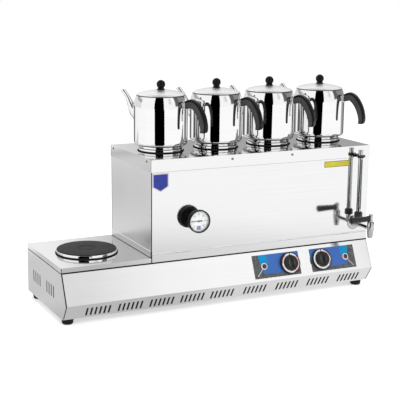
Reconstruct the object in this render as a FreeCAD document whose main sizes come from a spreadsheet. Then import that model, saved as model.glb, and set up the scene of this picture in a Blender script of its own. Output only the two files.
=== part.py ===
"""Tea urn with four steam-heated teapots, a draw-off tap, a sight glass and a side hot plate, in millimetres."""
import FreeCAD, Part
import math
import os

import Sketcher
from FreeCAD import Placement, Rotation, Vector

os.makedirs("parts", exist_ok=True)
doc = FreeCAD.newDocument("tea_urn")

SIZES = {
    # Base, boiler and deck
    "base_depth": 326,
    "front_reach": 120,
    "foot_rise": 20,
    "base_rise": 135,
    "fold_rise": 48.5,
    "fold_lean": 39,
    "toe_lean": 7,
    "seam": 2.5,
    "deck_rise": 152,
    "deck_length": 281,
    "boiler_rise": 447,
    "plate": 1.2,
    "fit": 0.3,
    "panel_step": 1.5,
    "front_band": 26,
    "side_band": 19,
    "cover_skirt": 37,
    "corner_gap": 2.5,
    "deck_gap": 1.4,
    "flange_width": 14,
    "tray_lip": 14,
    # Vents
    "slot_width": 4,
    "slot_top": 34,
    "slot_bottom": 8,
    "slot_pitch": 14,
    "slot_count": 6,
    "vent_start": 69.5,
    "vent_pitch_left": 101,
    "vent_count_left": 5,
    "vent_start_right": 462,
    "vent_pitch_right": 115,
    "vent_count_right": 4,
    "side_slot_low": 47,
    "side_slot_high": 81,
    "side_slot_start": 70,
    "side_slot_pitch": 21,
    "side_slot_count": 4,
    "side_vent_pitch": 130,
    "side_vent_count": 2,
    # Feet
    "foot_radius": 18,
    "foot_taper": 2,
    "foot_inset_x": 24,
    "foot_inset_front": 19,
    "foot_inset_back": 33,
    "foot_stud": 4,
    "foot_washer": 9,
    "foot_washer_rise": 4,
    # Hot plate
    "hotplate_x": 132.5,
    "hotplate_y": 150,
    "hotplate_radius": 90,
    "hotplate_rise": 13,
    "hotplate_recess": 27,
    "rim_thick": 1.5,
    "rim_rise": 10.5,
    "deck_hole": 80,
    "clamp_length": 184,
    "clamp_width": 26,
    "clamp_thick": 4,
    "stud_radius": 4,
    "stud_nut": 7.5,
    # Top cover and screws
    "collar_radius": 68,
    "collar_bore": 61.5,
    "collar_rise": 9,
    "pot_first": 102,
    "pot_pitch": 190,
    "pot_last": 97,
    "pot_depth": 163,
    "screw_radius": 2,
    "screw_head": 3.8,
    "screw_head_rise": 1.8,
    "screw_shank": 8,
    "screw_play": 0.2,
    "front_screw_first": 267,
    "front_screw_last": 477,
    "front_screw_drop": 13,
    "side_screw_front": 35,
    "side_screw_back": 303,
    "side_screw_drop": 9,
    # Water tank and element
    "tank_gap": 10,
    "tank_wall": 1.5,
    "tank_drop": 20,
    "tank_lip": 8,
    "element_x": 359,
    "element_flange": 34,
    "element_flange_rise": 6,
    "element_boss": 22,
    "element_tube": 4.2,
    "element_reach": 300,
    "element_pitch": 17,
    "element_bend": 14,
    # Control plates, knobs, lamps and their back parts
    "control_last": 59,
    "control_pitch": 208,
    "control_width": 166,
    "control_height": 74,
    "control_drop": 12,
    "control_thick": 0.8,
    "control_inset": 37,
    "knob_skirt": 35.5,
    "knob_skirt_rise": 6,
    "knob_lift": 3,
    "knob_grip": 24.5,
    "knob_grip_rise": 9,
    "knob_bar_width": 13,
    "knob_bar_rise": 11,
    "knob_shaft": 3,
    "scale_outer": 33,
    "scale_inner": 25.5,
    "scale_thick": 0.8,
    "bushing_radius": 5,
    "bushing_rise": 4,
    "regulator_size": 44,
    "regulator_depth": 28,
    "lamp_bezel": 8.7,
    "lamp_bezel_rise": 4,
    "lamp_lens": 5.6,
    "lamp_lens_dome": 1.6,
    "lamp_body": 5,
    "lamp_reach": 24,
    # Gauge
    "gauge_x": 139,
    "gauge_rise": 260,
    "gauge_radius": 33.2,
    "gauge_back": 22,
    "gauge_depth": 18.5,
    "gauge_wall": 1.5,
    "gauge_bezel_lap": 2.2,
    "gauge_stem": 6,
    "gauge_hex": 10,
    "gauge_probe": 70,
    # Tap and sight glass
    "tap_inset": 54,
    "tap_rise": 196,
    "tap_reach": 95,
    "tap_shank": 9,
    "tap_flange": 23,
    "tap_flange_thick": 3,
    "tap_arm": 6,
    "tap_barrel": 11.5,
    "tap_barrel_rise": 21,
    "spout_radius": 8,
    "spout_drop": 30,
    "water_bore": 4.5,
    "plug_radius": 7.5,
    "plug_taper": 1.2,
    "plug_play": 0.05,
    "hub_radius": 7,
    "hub_rise": 25.7,
    "lever_rod": 3,
    "lever_lift": 10.7,
    "grip_length": 67.7,
    "grip_radius": 10.6,
    "grip_neck": 8.6,
    "grip_collar": 10,
    "sight_reach": 26,
    "sight_boss": 8,
    "sight_start": 23,
    "nut_radius": 13.3,
    "nut_rise": 19,
    "glass_radius": 5,
    "glass_wall": 1.2,
    "guard_radius": 7.3,
    "guard_wall": 1,
    "guard_slot": 7,
    "guard_top": 438,
    "clamp_rise": 417,
    "clamp_height": 9,
    "clamp_ring": 10.5,
    # Teapots
    "pot_radius": 83,
    "pot_wall": 1.2,
    "pot_foot": 66,
    "pot_foot_rise": 17,
    "pot_spigot": 59.5,
    "pot_spigot_drop": 8,
    "pot_corner": 10,
    "pot_shoulder": 133,
    "pot_rise": 171.5,
    "pot_mouth": 74,
    "lid_lap": 2,
    "lid_dome": 12.5,
    "lid_plug_drop": 7,
    "lid_play": 0.8,
    "knob_ball": 13.2,
    "knob_centre": 31.5,
    "knob_foot": 12.7,
    "handle_turn": -54,
    "handle_width": 21,
    "handle_round": 6,
    "handle_peak": 163.5,
    "handle_end": 63,
    "handle_reach": 160,
    "tab_width": 15,
    "tab_low": 134,
    "tab_high": 148,
    "tab_reach": 88,
    "spout_root_rise": 90,
    "spout_root_radius": 23,
    "spout_mid_reach": 107,
    "spout_mid_rise": 134,
    "spout_mid_radius": 10.7,
    "spout_tip_reach": 136.4,
    "spout_tip_rise": 178.5,
    "spout_tip_radius": 8,
    "spout_wall": 1,
    # Cable gland
    "gland_inset": 150,
    "gland_rise": 60,
    "gland_radius": 12,
    "gland_thread": 9,
    "gland_bore": 5.5,
}

sheet = doc.addObject("Spreadsheet::Sheet", "Sizes")
for row, (alias, number) in enumerate(SIZES.items(), start=1):
    sheet.set(f"A{row}", str(number))
    sheet.setAlias(f"A{row}", alias)
doc.recompute()

ORIGIN = Vector(0, 0, 0)
X_AXIS = Vector(1, 0, 0)
Y_AXIS = Vector(0, 1, 0)
Z_AXIS = Vector(0, 0, 1)


class Size:
    """A size that carries its number and the expression that binds it to the sheet."""

    def __init__(self, number, text):
        self.number = number
        self.text = text

    @staticmethod
    def of(other):
        """Return the given number or size as a size."""
        return other if isinstance(other, Size) else Size(float(other), repr(float(other)))

    def __add__(self, other):
        other = Size.of(other)
        return Size(self.number + other.number, f"({self.text} + {other.text})")

    def __sub__(self, other):
        other = Size.of(other)
        return Size(self.number - other.number, f"({self.text} - {other.text})")

    def __mul__(self, other):
        other = Size.of(other)
        return Size(self.number * other.number, f"({self.text} * {other.text})")

    def __truediv__(self, other):
        other = Size.of(other)
        return Size(self.number / other.number, f"({self.text} / {other.text})")

    def __neg__(self):
        return Size(-self.number, f"(0 - {self.text})")

    def __radd__(self, other):
        return Size.of(other) + self

    def __rsub__(self, other):
        return Size.of(other) - self

    def __rmul__(self, other):
        return Size.of(other) * self

    def root(self):
        """Return the square root."""
        return Size(math.sqrt(self.number), f"sqrt({self.text})")

    def angle_over(self, other):
        """Return the angle in degrees whose tangent is this size over the other."""
        other = Size.of(other)
        turn = math.degrees(math.atan(self.number / other.number))
        return Size(turn, f"atan({self.text} / {other.text})")

    def cosine(self):
        """Return the cosine of this angle in degrees."""
        return Size(math.cos(math.radians(self.number)), f"cos({self.text})")

    def sine(self):
        """Return the sine of this angle in degrees."""
        return Size(math.sin(math.radians(self.number)), f"sin({self.text})")


class SizeTable:
    """Gives each cell of the sheet as a size, by its alias."""

    def __getattr__(self, alias):
        return Size(float(SIZES[alias]), f"Sizes.{alias}")


s = SizeTable()

# Planes that several pieces share
boiler_length = s.pot_first + s.pot_pitch * 3 + s.pot_last
base_length = s.deck_length + boiler_length
left = base_length / -2
right = base_length / 2
front = -s.front_reach
back = front + s.base_depth
ground = s.foot_rise
base_top = ground + s.base_rise
skirt_low = base_top + s.seam
deck_top = ground + s.deck_rise
boiler_left = left + s.deck_length
boiler_top = ground + s.boiler_rise
panel_front = front + s.panel_step
panel_back = back - s.panel_step
inner_play = s.plate + s.fit
face_length = ((s.base_rise - s.fold_rise) * (s.base_rise - s.fold_rise) + s.fold_lean * s.fold_lean).root()
face_turn = (s.base_rise - s.fold_rise).angle_over(s.fold_lean)
tray_floor = ground + s.plate + s.fit
tap_x = right - s.tap_inset


def bind(item, name, size):
    """Set a property to a plain number, or to a size with its expression."""
    if isinstance(size, Size):
        item.setExpression(name, size.text)
    else:
        setattr(item, name, size)


def place(item, x=0, y=0, z=0, axis=Z_AXIS, turn=0):
    """Put an item at a point, turned about an axis, with bound coordinates."""
    point = [Size.of(value) for value in (x, y, z)]
    angle = Size.of(turn)
    item.Placement = Placement(Vector(*[value.number for value in point]), Rotation(axis, angle.number))
    for letter, value in zip("xyz", point):
        item.setExpression(f"Placement.Base.{letter}", value.text)
    if isinstance(turn, Size):
        item.setExpression("Placement.Rotation.Angle", turn.text)
    return item


def place_on_face(item, x, drop, out):
    """Put an item on the sloped control face, its own Z axis pointing out of the face."""
    slope_y = s.fold_lean / face_length
    slope_z = (s.base_rise - s.fold_rise) / face_length
    y = front - drop * slope_y - out * slope_z
    z = base_top - drop * slope_z + out * slope_y
    return place(item, x, y, z, X_AXIS, face_turn)


def new_body(name):
    """Return an empty body."""
    return doc.addObject("PartDesign::Body", name)


def new_sketch(body, plane, height=0):
    """Return a sketch on one of the body's own origin planes, lifted along its normal."""
    sketch = body.newObject("Sketcher::SketchObject", body.Name + "_sketch")
    support = [item for item in body.Origin.OriginFeatures if item.Role == plane][0]
    sketch.AttachmentSupport = [(support, "")]
    sketch.MapMode = "FlatFace"
    lift = Size.of(height)
    sketch.AttachmentOffset = Placement(Vector(0, 0, lift.number), Rotation())
    sketch.setExpression("AttachmentOffset.Base.z", lift.text)
    return sketch


def fix_point(sketch, index, end, x, y):
    """Tie one end of a line or arc to bound coordinates."""
    for kind, value in (("DistanceX", x), ("DistanceY", y)):
        size = Size.of(value)
        row = sketch.addConstraint(Sketcher.Constraint(kind, -1, 1, index, end, size.number))
        sketch.setExpression(f"Constraints[{row}]", size.text)


def add_circle(sketch, x, y, radius):
    """Draw a circle with a bound centre and radius."""
    spot = Vector(Size.of(x).number, Size.of(y).number, 0)
    index = sketch.addGeometry(Part.Circle(spot, Z_AXIS, Size.of(radius).number), False)
    fix_point(sketch, index, 3, x, y)
    row = sketch.addConstraint(Sketcher.Constraint("Radius", index, Size.of(radius).number))
    sketch.setExpression(f"Constraints[{row}]", Size.of(radius).text)


def add_outline(sketch, steps):
    """Draw a closed outline; a step is (x, y), or (x, y, radius, turn) where an arc arrives there.

    A turn of 1 bends the arc to the left on its way and -1 to the right.
    """
    spots = [Vector(Size.of(step[0]).number, Size.of(step[1]).number, 0) for step in steps]
    runs = []
    for number, step in enumerate(steps):
        start, end = spots[number - 1], spots[number]
        if len(step) == 2:
            index = sketch.addGeometry(Part.LineSegment(start, end), False)
            runs.append((index, 1, 2))
            continue
        radius, turn = Size.of(step[2]), step[3]
        chord = end - start
        rise = math.sqrt(max(radius.number ** 2 - (chord.Length / 2) ** 2, 0))
        side = Vector(-chord.y, chord.x, 0).normalize()
        centre = (start + end) / 2 + side * (rise * turn)
        first, last = (start, end) if turn > 0 else (end, start)
        angles = [math.atan2(spot.y - centre.y, spot.x - centre.x) for spot in (first, last)]
        arc = Part.ArcOfCircle(Part.Circle(centre, Z_AXIS, radius.number), *angles)
        index = sketch.addGeometry(arc, False)
        runs.append((index, 1, 2) if turn > 0 else (index, 2, 1))
        row = sketch.addConstraint(Sketcher.Constraint("Radius", index, radius.number))
        sketch.setExpression(f"Constraints[{row}]", radius.text)
    for number, (index, start, end) in enumerate(runs):
        before = runs[number - 1]
        sketch.addConstraint(Sketcher.Constraint("Coincident", before[0], before[2], index, start))
        fix_point(sketch, index, end, steps[number][0], steps[number][1])


def add_rectangle(sketch, x_low, x_high, y_low, y_high):
    """Draw a rectangle between bound coordinates."""
    add_outline(sketch, [(x_low, y_low), (x_high, y_low), (x_high, y_high), (x_low, y_high)])


def pad(body, sketch, length, side="One side", reverse=False):
    """Pad a sketch into its body."""
    feature = body.newObject("PartDesign::Pad", body.Name + "_pad")
    feature.Profile = sketch
    feature.SideType = side
    feature.Reversed = reverse
    bind(feature, "Length", length)
    sketch.Visibility = False
    body.Tip = feature
    return feature


def pocket(body, sketch, length=None, side="Symmetric", reverse=False):
    """Cut a sketch out of its body, right through unless a depth is given."""
    feature = body.newObject("PartDesign::Pocket", body.Name + "_pocket")
    feature.Profile = sketch
    feature.SideType = side
    feature.Reversed = reverse
    if length is None:
        feature.Type = "ThroughAll"
    else:
        feature.Type = "Length"
        bind(feature, "Length", length)
    sketch.Visibility = False
    body.Tip = feature
    return feature


def repeat(body, feature, sketch, steps):
    """Repeat a feature along its sketch's horizontal axis; a step is (pitch, count)."""
    runs = []
    many = body.newObject("PartDesign::MultiTransform", body.Name + "_pattern") if len(steps) > 1 else None
    for pitch, count in steps:
        run = body.newObject("PartDesign::LinearPattern", body.Name + "_row")
        run.Originals = [] if many else [feature]
        run.Direction = (sketch, ["H_Axis"])
        bind(run, "Length", pitch * (count - 1))
        bind(run, "Occurrences", count)
        runs.append(run)
    if many:
        many.Originals = [feature]
        many.Transformations = runs
        body.Tip = many
        return many
    body.Tip = runs[0]
    return runs[0]


def revolve(name, steps, plane="XZ_Plane"):
    """Return a body turned about its own Z axis from an outline of (radius, height) steps."""
    body = new_body(name)
    sketch = new_sketch(body, plane)
    add_outline(sketch, steps)
    feature = body.newObject("PartDesign::Revolution", name + "_turn")
    feature.Profile = sketch
    feature.ReferenceAxis = (sketch, ["V_Axis"])
    feature.Angle = 360
    sketch.Visibility = False
    body.Tip = feature
    return body


def soften(body, radius, choose, name="_round"):
    """Fillet the edges of the body's last feature that the given test picks."""
    doc.recompute()
    base = body.Tip
    picked = [f"Edge{number}" for number, edge in enumerate(base.Shape.Edges, 1) if choose(edge)]
    feature = body.newObject("PartDesign::Fillet", body.Name + name)
    feature.Base = (base, picked)
    bind(feature, "Radius", radius)
    body.Tip = feature
    return feature


def box(name, x, y, z, length, width, height):
    """Return a box with its low corner at a point."""
    item = doc.addObject("Part::Box", name)
    for key, size in (("Length", length), ("Width", width), ("Height", height)):
        bind(item, key, Size.of(size))
    return place(item, x, y, z)


def cylinder(name, x, y, z, radius, height, axis=Z_AXIS, turn=0):
    """Return a cylinder that starts at a point and runs along its turned Z axis."""
    item = doc.addObject("Part::Cylinder", name)
    bind(item, "Radius", Size.of(radius))
    bind(item, "Height", Size.of(height))
    return place(item, x, y, z, axis, turn)


def cut(name, base, tools):
    """Return the base with the tools cut away."""
    item = doc.addObject("Part::Cut", name)
    item.Base = base
    item.Tool = tools[0] if len(tools) == 1 else fuse(name + "_tools", tools)
    return item


def fuse(name, pieces):
    """Return the pieces joined into one solid."""
    item = doc.addObject("Part::MultiFuse", name)
    item.Shapes = pieces
    item.Refine = True
    return item


def group(name, pieces):
    """Return separate solids kept together as one node."""
    item = doc.addObject("Part::Compound", name)
    item.Links = pieces
    return item


def base_front_panel():
    """Folded front panel: leaning control face, fold line, slotted face and the upstand that carries the deck."""
    body = new_body("base_front_panel")
    profile = new_sketch(body, "YZ_Plane", left + inner_play + s.seam)
    wall = s.plate * 1.2
    lip = front + s.flange_width
    stand = front + inner_play
    stand_top = deck_top - inner_play
    toe = front - s.toe_lean
    fold = front - s.fold_lean
    fold_z = ground + s.fold_rise
    add_outline(profile, [
        (stand, stand_top), (stand, base_top), (front, base_top), (fold, fold_z), (toe, ground), (lip, ground),
        (lip, ground + s.plate), (toe + wall, ground + s.plate), (fold + wall, fold_z),
        (front + wall, base_top - s.plate), (stand + s.plate, base_top - s.plate), (stand + s.plate, stand_top)])
    pad(body, profile, base_length - (inner_play + s.seam) * 2)
    for start, pitch, count in ((left + s.vent_start, s.vent_pitch_left, s.vent_count_left),
                                (right - s.vent_start_right, s.vent_pitch_right, s.vent_count_right)):
        slot = new_sketch(body, "XZ_Plane")
        slot_x = start - s.slot_width / 2
        add_rectangle(slot, slot_x, slot_x + s.slot_width, ground + s.slot_bottom, ground + s.slot_top)
        hole = pocket(body, slot)
        repeat(body, hole, slot, [(s.slot_pitch, s.slot_count), (pitch, count)])
    holes = []
    for number in range(2):
        for x, radius in zip(control_centres(number), (s.bushing_radius, s.lamp_body)):
            hole = cylinder("panel_hole", 0, 0, 0, radius + s.fit, s.plate * 8)
            holes.append(place_on_face(hole, x, control_middle(), s.plate * -4))
    return cut("base_front_panel_cut", body, holes)


def control_left(number):
    """Return the left edge of a control plate."""
    return right - s.control_last - s.control_width - s.control_pitch * (1 - number)


def control_middle():
    """Return the distance down the sloped face to the middle of the control plates."""
    return s.control_drop + s.control_height / 2


def control_centres(number):
    """Return the places of the knob and the lamp on a control plate; the second plate is mirrored."""
    near = control_left(number) + s.control_inset
    far = control_left(number) + s.control_width - s.control_inset
    return (far, near) if number == 0 else (near, far)


def base_side(name, x):
    """Side panel of the base with two groups of upright slots."""
    body = new_body(name)
    profile = new_sketch(body, "YZ_Plane", x)
    add_outline(profile, [
        (front - s.fit, base_top), (front - s.fold_lean, ground + s.fold_rise),
        (front - s.toe_lean, ground), (back, ground), (back, base_top)])
    pad(body, profile, s.plate)
    slot = new_sketch(body, "YZ_Plane", x)
    slot_y = front + s.side_slot_start
    add_rectangle(slot, slot_y, slot_y + s.slot_width, ground + s.side_slot_low, ground + s.side_slot_high)
    hole = pocket(body, slot)
    repeat(body, hole, slot, [(s.side_slot_pitch, s.side_slot_count), (s.side_vent_pitch, s.side_vent_count)])
    return body


def base_back_panel():
    """Back panel of the base with the cable gland's hole and an upstand that carries the deck."""
    body = new_body("base_back_panel")
    profile = new_sketch(body, "YZ_Plane", left + inner_play)
    stand = back - inner_play
    stand_top = deck_top - inner_play
    add_outline(profile, [
        (back, ground), (back, base_top), (stand, base_top), (stand, stand_top), (stand - s.plate, stand_top),
        (stand - s.plate, base_top - s.plate), (back - s.plate, base_top - s.plate), (back - s.plate, ground)])
    pad(body, profile, base_length - inner_play * 2)
    hole = new_sketch(body, "XZ_Plane", -back)
    add_circle(hole, right - s.gland_inset, ground + s.gland_rise, s.gland_thread + s.fit)
    pocket(body, hole, s.plate * 6)
    return body


def foot_spots():
    """Return the four places of the feet."""
    xs = (left + s.foot_inset_x, right - s.foot_inset_x)
    ys = (front + s.foot_inset_front, back - s.foot_inset_back)
    return [(x, y) for y in ys for x in xs]


def base_bottom_plate():
    """Tray that closes the base from below, with upturned lips and the feet's holes."""
    x_low = left + inner_play
    y_low = front + s.fit
    x_span = base_length - inner_play * 2
    y_span = s.base_depth - inner_play - s.fit
    outer = box("tray_outer", x_low, y_low, tray_floor, x_span, y_span, s.tray_lip)
    inner = box("tray_inner", x_low + s.plate, y_low + s.plate, tray_floor + s.plate,
                x_span - s.plate * 2, y_span - s.plate * 2, s.tray_lip)
    holes = [cylinder("foot_hole", x, y, ground, s.foot_stud + s.fit, s.tray_lip) for x, y in foot_spots()]
    return cut("base_bottom_plate", outer, [inner] + holes)


def feet():
    """Four rubber feet, each with a stud and a washer that hold it in the tray."""
    washer_low = tray_floor + s.plate + s.fit
    washer_high = washer_low + s.foot_washer_rise
    top = ground - s.fit
    pieces = []
    for number, (x, y) in enumerate(foot_spots()):
        foot = revolve(f"foot_{number}", [
            (0, 0), (s.foot_radius - s.foot_taper * 2, 0),
            (s.foot_radius - s.foot_taper, s.foot_taper, s.foot_taper, 1),
            (s.foot_radius, top), (s.foot_stud, top), (s.foot_stud, washer_low),
            (s.foot_washer, washer_low), (s.foot_washer, washer_high), (0, washer_high)])
        pieces.append(place(foot, x, y, 0))
    return group("feet", pieces)


def base_top_plate():
    """Deck of the base: skirted round the hot plate and running on under the boiler."""
    body = new_body("base_top_plate")
    top = new_sketch(body, "XY_Plane", deck_top)
    run_right = right - inner_play
    add_rectangle(top, left, run_right, front, back)
    pad(body, top, deck_top - skirt_low, reverse=True)
    hollow = new_sketch(body, "XY_Plane", skirt_low)
    add_rectangle(hollow, left + s.plate, right, front + s.plate, back - s.plate)
    pocket(body, hollow, deck_top - skirt_low - s.plate, side="One side", reverse=True)
    for low, high in ((front - s.plate, panel_front), (panel_back, back + s.plate)):
        strip = new_sketch(body, "XY_Plane", deck_top)
        add_rectangle(strip, boiler_left - s.fit, right, low, high)
        pocket(body, strip)
    holes = new_sketch(body, "XY_Plane", deck_top)
    add_circle(holes, left + s.hotplate_x, front + s.hotplate_y, s.deck_hole)
    add_circle(holes, boiler_left + s.element_x, front + s.pot_depth, s.element_boss + s.fit)
    pocket(body, holes)
    return body


def hotplate_disc():
    """Cast-iron heating disc with a shallow centre ring, a skirt and a hub for its stud."""
    top = s.hotplate_rise
    seat = s.plate + s.fit * 2
    disc = revolve("hotplate_disc", [
        (s.stud_radius + s.fit, top - s.rim_rise), (s.stud_radius * 3, top - s.rim_rise), (s.deck_hole - 4, top - s.rim_rise),
        (s.deck_hole, seat), (s.hotplate_radius, seat), (s.hotplate_radius, top - 1.5),
        (s.hotplate_radius - 1.5, top, 1.5, 1), (s.hotplate_recess, top),
        (s.hotplate_recess - 1, top - 0.8), (s.hotplate_recess - 3, top - 0.8),
        (s.hotplate_recess - 4, top), (0, top), (0, top - 4), (s.stud_radius + s.fit, top - 4)])
    return place(disc, left + s.hotplate_x, front + s.hotplate_y, deck_top)


def hotplate_rim():
    """Bright spill ring that carries the disc on the deck."""
    low = s.fit
    inner = s.hotplate_radius + s.fit
    rim = revolve("hotplate_rim", [
        (s.deck_hole + 1, low), (inner + s.rim_thick + 1.5, low), (inner + s.rim_thick, low + 2),
        (inner + s.rim_thick, s.rim_rise), (inner, s.rim_rise), (inner, low + s.plate), (s.deck_hole + 1, low + s.plate)])
    return place(rim, left + s.hotplate_x, front + s.hotplate_y, deck_top)


def hotplate_clamp():
    """Cross bar under the deck, its stud up into the disc and the nut that draws it tight."""
    x = left + s.hotplate_x
    y = front + s.hotplate_y
    under = deck_top - s.plate - s.fit
    bar = box("clamp_bar", x - s.clamp_length / 2, y - s.clamp_width / 2, under - s.clamp_thick,
              s.clamp_length, s.clamp_width, s.clamp_thick)
    stud_low = under - s.clamp_thick * 3
    stud = cylinder("clamp_stud", x, y, stud_low, s.stud_radius, deck_top + s.hotplate_rise - 4 - s.fit - stud_low)
    nut = doc.addObject("Part::Prism", "clamp_nut")
    nut.Polygon = 6
    bind(nut, "Circumradius", s.stud_nut)
    bind(nut, "Height", s.clamp_thick * 1.5)
    place(nut, x, y, under - s.clamp_thick * 2.5)
    return fuse("hotplate_clamp", [bar, stud, nut])


def boiler_long_panel(name, outer, inward, low, holes):
    """Front or back panel of the boiler: a flush band below, a face set back under the cover's skirt."""
    body = new_body(name)
    profile = new_sketch(body, "YZ_Plane", boiler_left + inner_play)
    step = outer + s.panel_step * inward
    band = base_top + s.front_band
    high = boiler_top - inner_play
    skin = s.plate * inward
    add_outline(profile, [
        (outer, low), (outer, band), (step, band + s.panel_step), (step, high), (step + skin, high),
        (step + skin, band + s.panel_step - s.plate / 2), (outer + skin, band - s.plate / 2), (outer + skin, low)])
    pad(body, profile, right - boiler_left - inner_play * 2)
    if holes:
        sketch = new_sketch(body, "XZ_Plane")
        for x, z, radius in holes:
            add_circle(sketch, x, z, radius)
        pocket(body, sketch)
    return body


def cover_screw_holes():
    """Return the places of the cover's front screws on the front panel."""
    z = boiler_top - s.front_screw_drop
    return [(boiler_left + x, z, s.screw_radius + s.screw_play) for x in (s.front_screw_first, s.front_screw_last)]


def boiler_front_panel():
    """Front panel with the gauge's, tap's and sight glass clamp's holes."""
    holes = cover_screw_holes() + [
        (boiler_left + s.gauge_x, ground + s.gauge_rise, s.gauge_stem + s.fit),
        (tap_x, ground + s.tap_rise, s.tap_shank + s.fit),
        (tap_x, ground + s.clamp_rise, s.screw_radius + s.screw_play)]
    return boiler_long_panel("boiler_front_panel", front, 1, skirt_low, holes)


def boiler_back_panel():
    """Back panel, the front one's plain counterpart."""
    return boiler_long_panel("boiler_back_panel", back, -1, skirt_low, cover_screw_holes())


def boiler_side(name, outer, inward, low):
    """End panel of the boiler, banded like the front one, between the front and back panels."""
    body = new_body(name)
    y_low = panel_front + s.plate + s.corner_gap
    profile = new_sketch(body, "XZ_Plane", -y_low)
    step = outer + s.panel_step * inward
    band = deck_top + s.side_band
    high = boiler_top - inner_play
    skin = s.plate * inward
    add_outline(profile, [
        (outer, low), (outer, band), (step, band + s.panel_step), (step, high), (step + skin, high),
        (step + skin, band + s.panel_step - s.plate / 2), (outer + skin, band - s.plate / 2), (outer + skin, low)])
    pad(body, profile, panel_back - s.plate - s.corner_gap - y_low, reverse=True)
    holes = new_sketch(body, "YZ_Plane")
    for y in (s.side_screw_front, s.side_screw_back):
        add_circle(holes, front + y, boiler_top - s.side_screw_drop, s.screw_radius + s.screw_play)
    pocket(body, holes)
    return body


def pot_spots():
    """Return the four places of the teapots on the cover."""
    return [(boiler_left + s.pot_first + s.pot_pitch * number, front + s.pot_depth) for number in range(4)]


def top_cover():
    """Folded lid of the boiler, slit at its corners, with four raised collars that take the teapots' spigots."""
    body = new_body("top_cover")
    outline = new_sketch(body, "XY_Plane", boiler_top)
    add_rectangle(outline, boiler_left, right, front, back)
    pad(body, outline, s.cover_skirt, reverse=True)
    hollow = new_sketch(body, "XY_Plane", boiler_top - s.cover_skirt)
    add_rectangle(hollow, boiler_left + s.plate, right - s.plate, front + s.plate, back - s.plate)
    pocket(body, hollow, s.cover_skirt - s.plate, side="One side", reverse=True)
    slits = new_sketch(body, "YZ_Plane")
    for low in (front + s.plate, back - s.plate - s.corner_gap):
        add_rectangle(slits, low, low + s.corner_gap, boiler_top - s.cover_skirt - s.plate, boiler_top - s.plate)
    pocket(body, slits)
    x, y = pot_spots()[0]
    collar = new_sketch(body, "XY_Plane", boiler_top - s.plate / 2)
    add_circle(collar, x, y, s.collar_radius)
    ring = pad(body, collar, s.collar_rise + s.plate / 2)
    repeat(body, ring, collar, [(s.pot_pitch, Size.of(4))])
    bore = new_sketch(body, "XY_Plane", boiler_top)
    add_circle(bore, x, y, s.collar_bore)
    hole = pocket(body, bore)
    repeat(body, hole, bore, [(s.pot_pitch, Size.of(4))])
    play = s.screw_radius + s.screw_play
    screws = new_sketch(body, "XZ_Plane")
    for screw_x, z, radius in cover_screw_holes():
        add_circle(screws, screw_x, z, radius)
    pocket(body, screws)
    clamp = new_sketch(body, "XZ_Plane", -front)
    add_circle(clamp, tap_x, ground + s.clamp_rise, play)
    pocket(body, clamp, s.plate * 4)
    side_screws = new_sketch(body, "YZ_Plane")
    for screw_y in (s.side_screw_front, s.side_screw_back):
        add_circle(side_screws, front + screw_y, boiler_top - s.side_screw_drop, play)
    pocket(body, side_screws)
    rim_height = (boiler_top + s.collar_rise).number
    soften(body, s.plate, lambda edge: edge.BoundBox.ZMin > rim_height - 0.1)
    return body


def cover_screws():
    """Eight pan-head screws that hold the cover's skirt to the panels."""
    pieces = []
    front_xs = [boiler_left + x for x in (s.front_screw_first, s.front_screw_last)]
    side_ys = [front + y for y in (s.side_screw_front, s.side_screw_back)]
    spots = [(x, front, boiler_top - s.front_screw_drop, X_AXIS, 90) for x in front_xs]
    spots += [(x, back, boiler_top - s.front_screw_drop, X_AXIS, -90) for x in front_xs]
    spots += [(boiler_left, y, boiler_top - s.side_screw_drop, Y_AXIS, -90) for y in side_ys]
    spots += [(right, y, boiler_top - s.side_screw_drop, Y_AXIS, 90) for y in side_ys]
    for number, (x, y, z, axis, turn) in enumerate(spots):
        screw = revolve(f"cover_screw_{number}", [
            (0, -s.screw_shank), (s.screw_radius, -s.screw_shank), (s.screw_radius, s.fit / 3),
            (s.screw_head, s.fit / 3), (s.screw_head, s.screw_head_rise / 2),
            (s.screw_head / 2, s.screw_head_rise), (0, s.screw_head_rise)])
        pieces.append(place(screw, x, y, z, axis, turn))
    return group("cover_screws", pieces)


def water_tank():
    """Open-topped inner tank with an outward lip, bored for the gauge, the tap and the element."""
    x_low = boiler_left + s.tank_gap
    y_low = front + s.tank_gap
    z_low = deck_top + s.fit
    x_span = right - boiler_left - s.tank_gap * 2
    y_span = s.base_depth - s.tank_gap * 2
    rise = boiler_top - s.tank_drop - z_low
    outer = box("tank_outer", x_low, y_low, z_low, x_span, y_span, rise)
    lip_out = s.tank_gap - s.panel_step - inner_play
    lip = box("tank_rim", x_low - lip_out, y_low - lip_out, z_low + rise - s.tank_wall,
              x_span + lip_out * 2, y_span + lip_out * 2, s.tank_wall)
    inner = box("tank_inner", x_low + s.tank_wall, y_low + s.tank_wall, z_low + s.tank_wall,
                x_span - s.tank_wall * 2, y_span - s.tank_wall * 2, rise)
    holes = [
        cylinder("tank_gauge_hole", boiler_left + s.gauge_x, front + s.tank_gap * 2, ground + s.gauge_rise,
                 s.gauge_stem + s.fit, s.tank_gap * 2, X_AXIS, 90),
        cylinder("tank_tap_hole", tap_x, front + s.tank_gap * 2, ground + s.tap_rise,
                 s.tap_shank + s.fit, s.tank_gap * 2, X_AXIS, 90),
        cylinder("tank_element_hole", boiler_left + s.element_x, front + s.pot_depth, deck_top - s.plate,
                 s.element_boss + s.fit, s.tank_gap)]
    return cut("water_tank", fuse("tank_solid", [outer, lip]), [inner] + holes)


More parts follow.
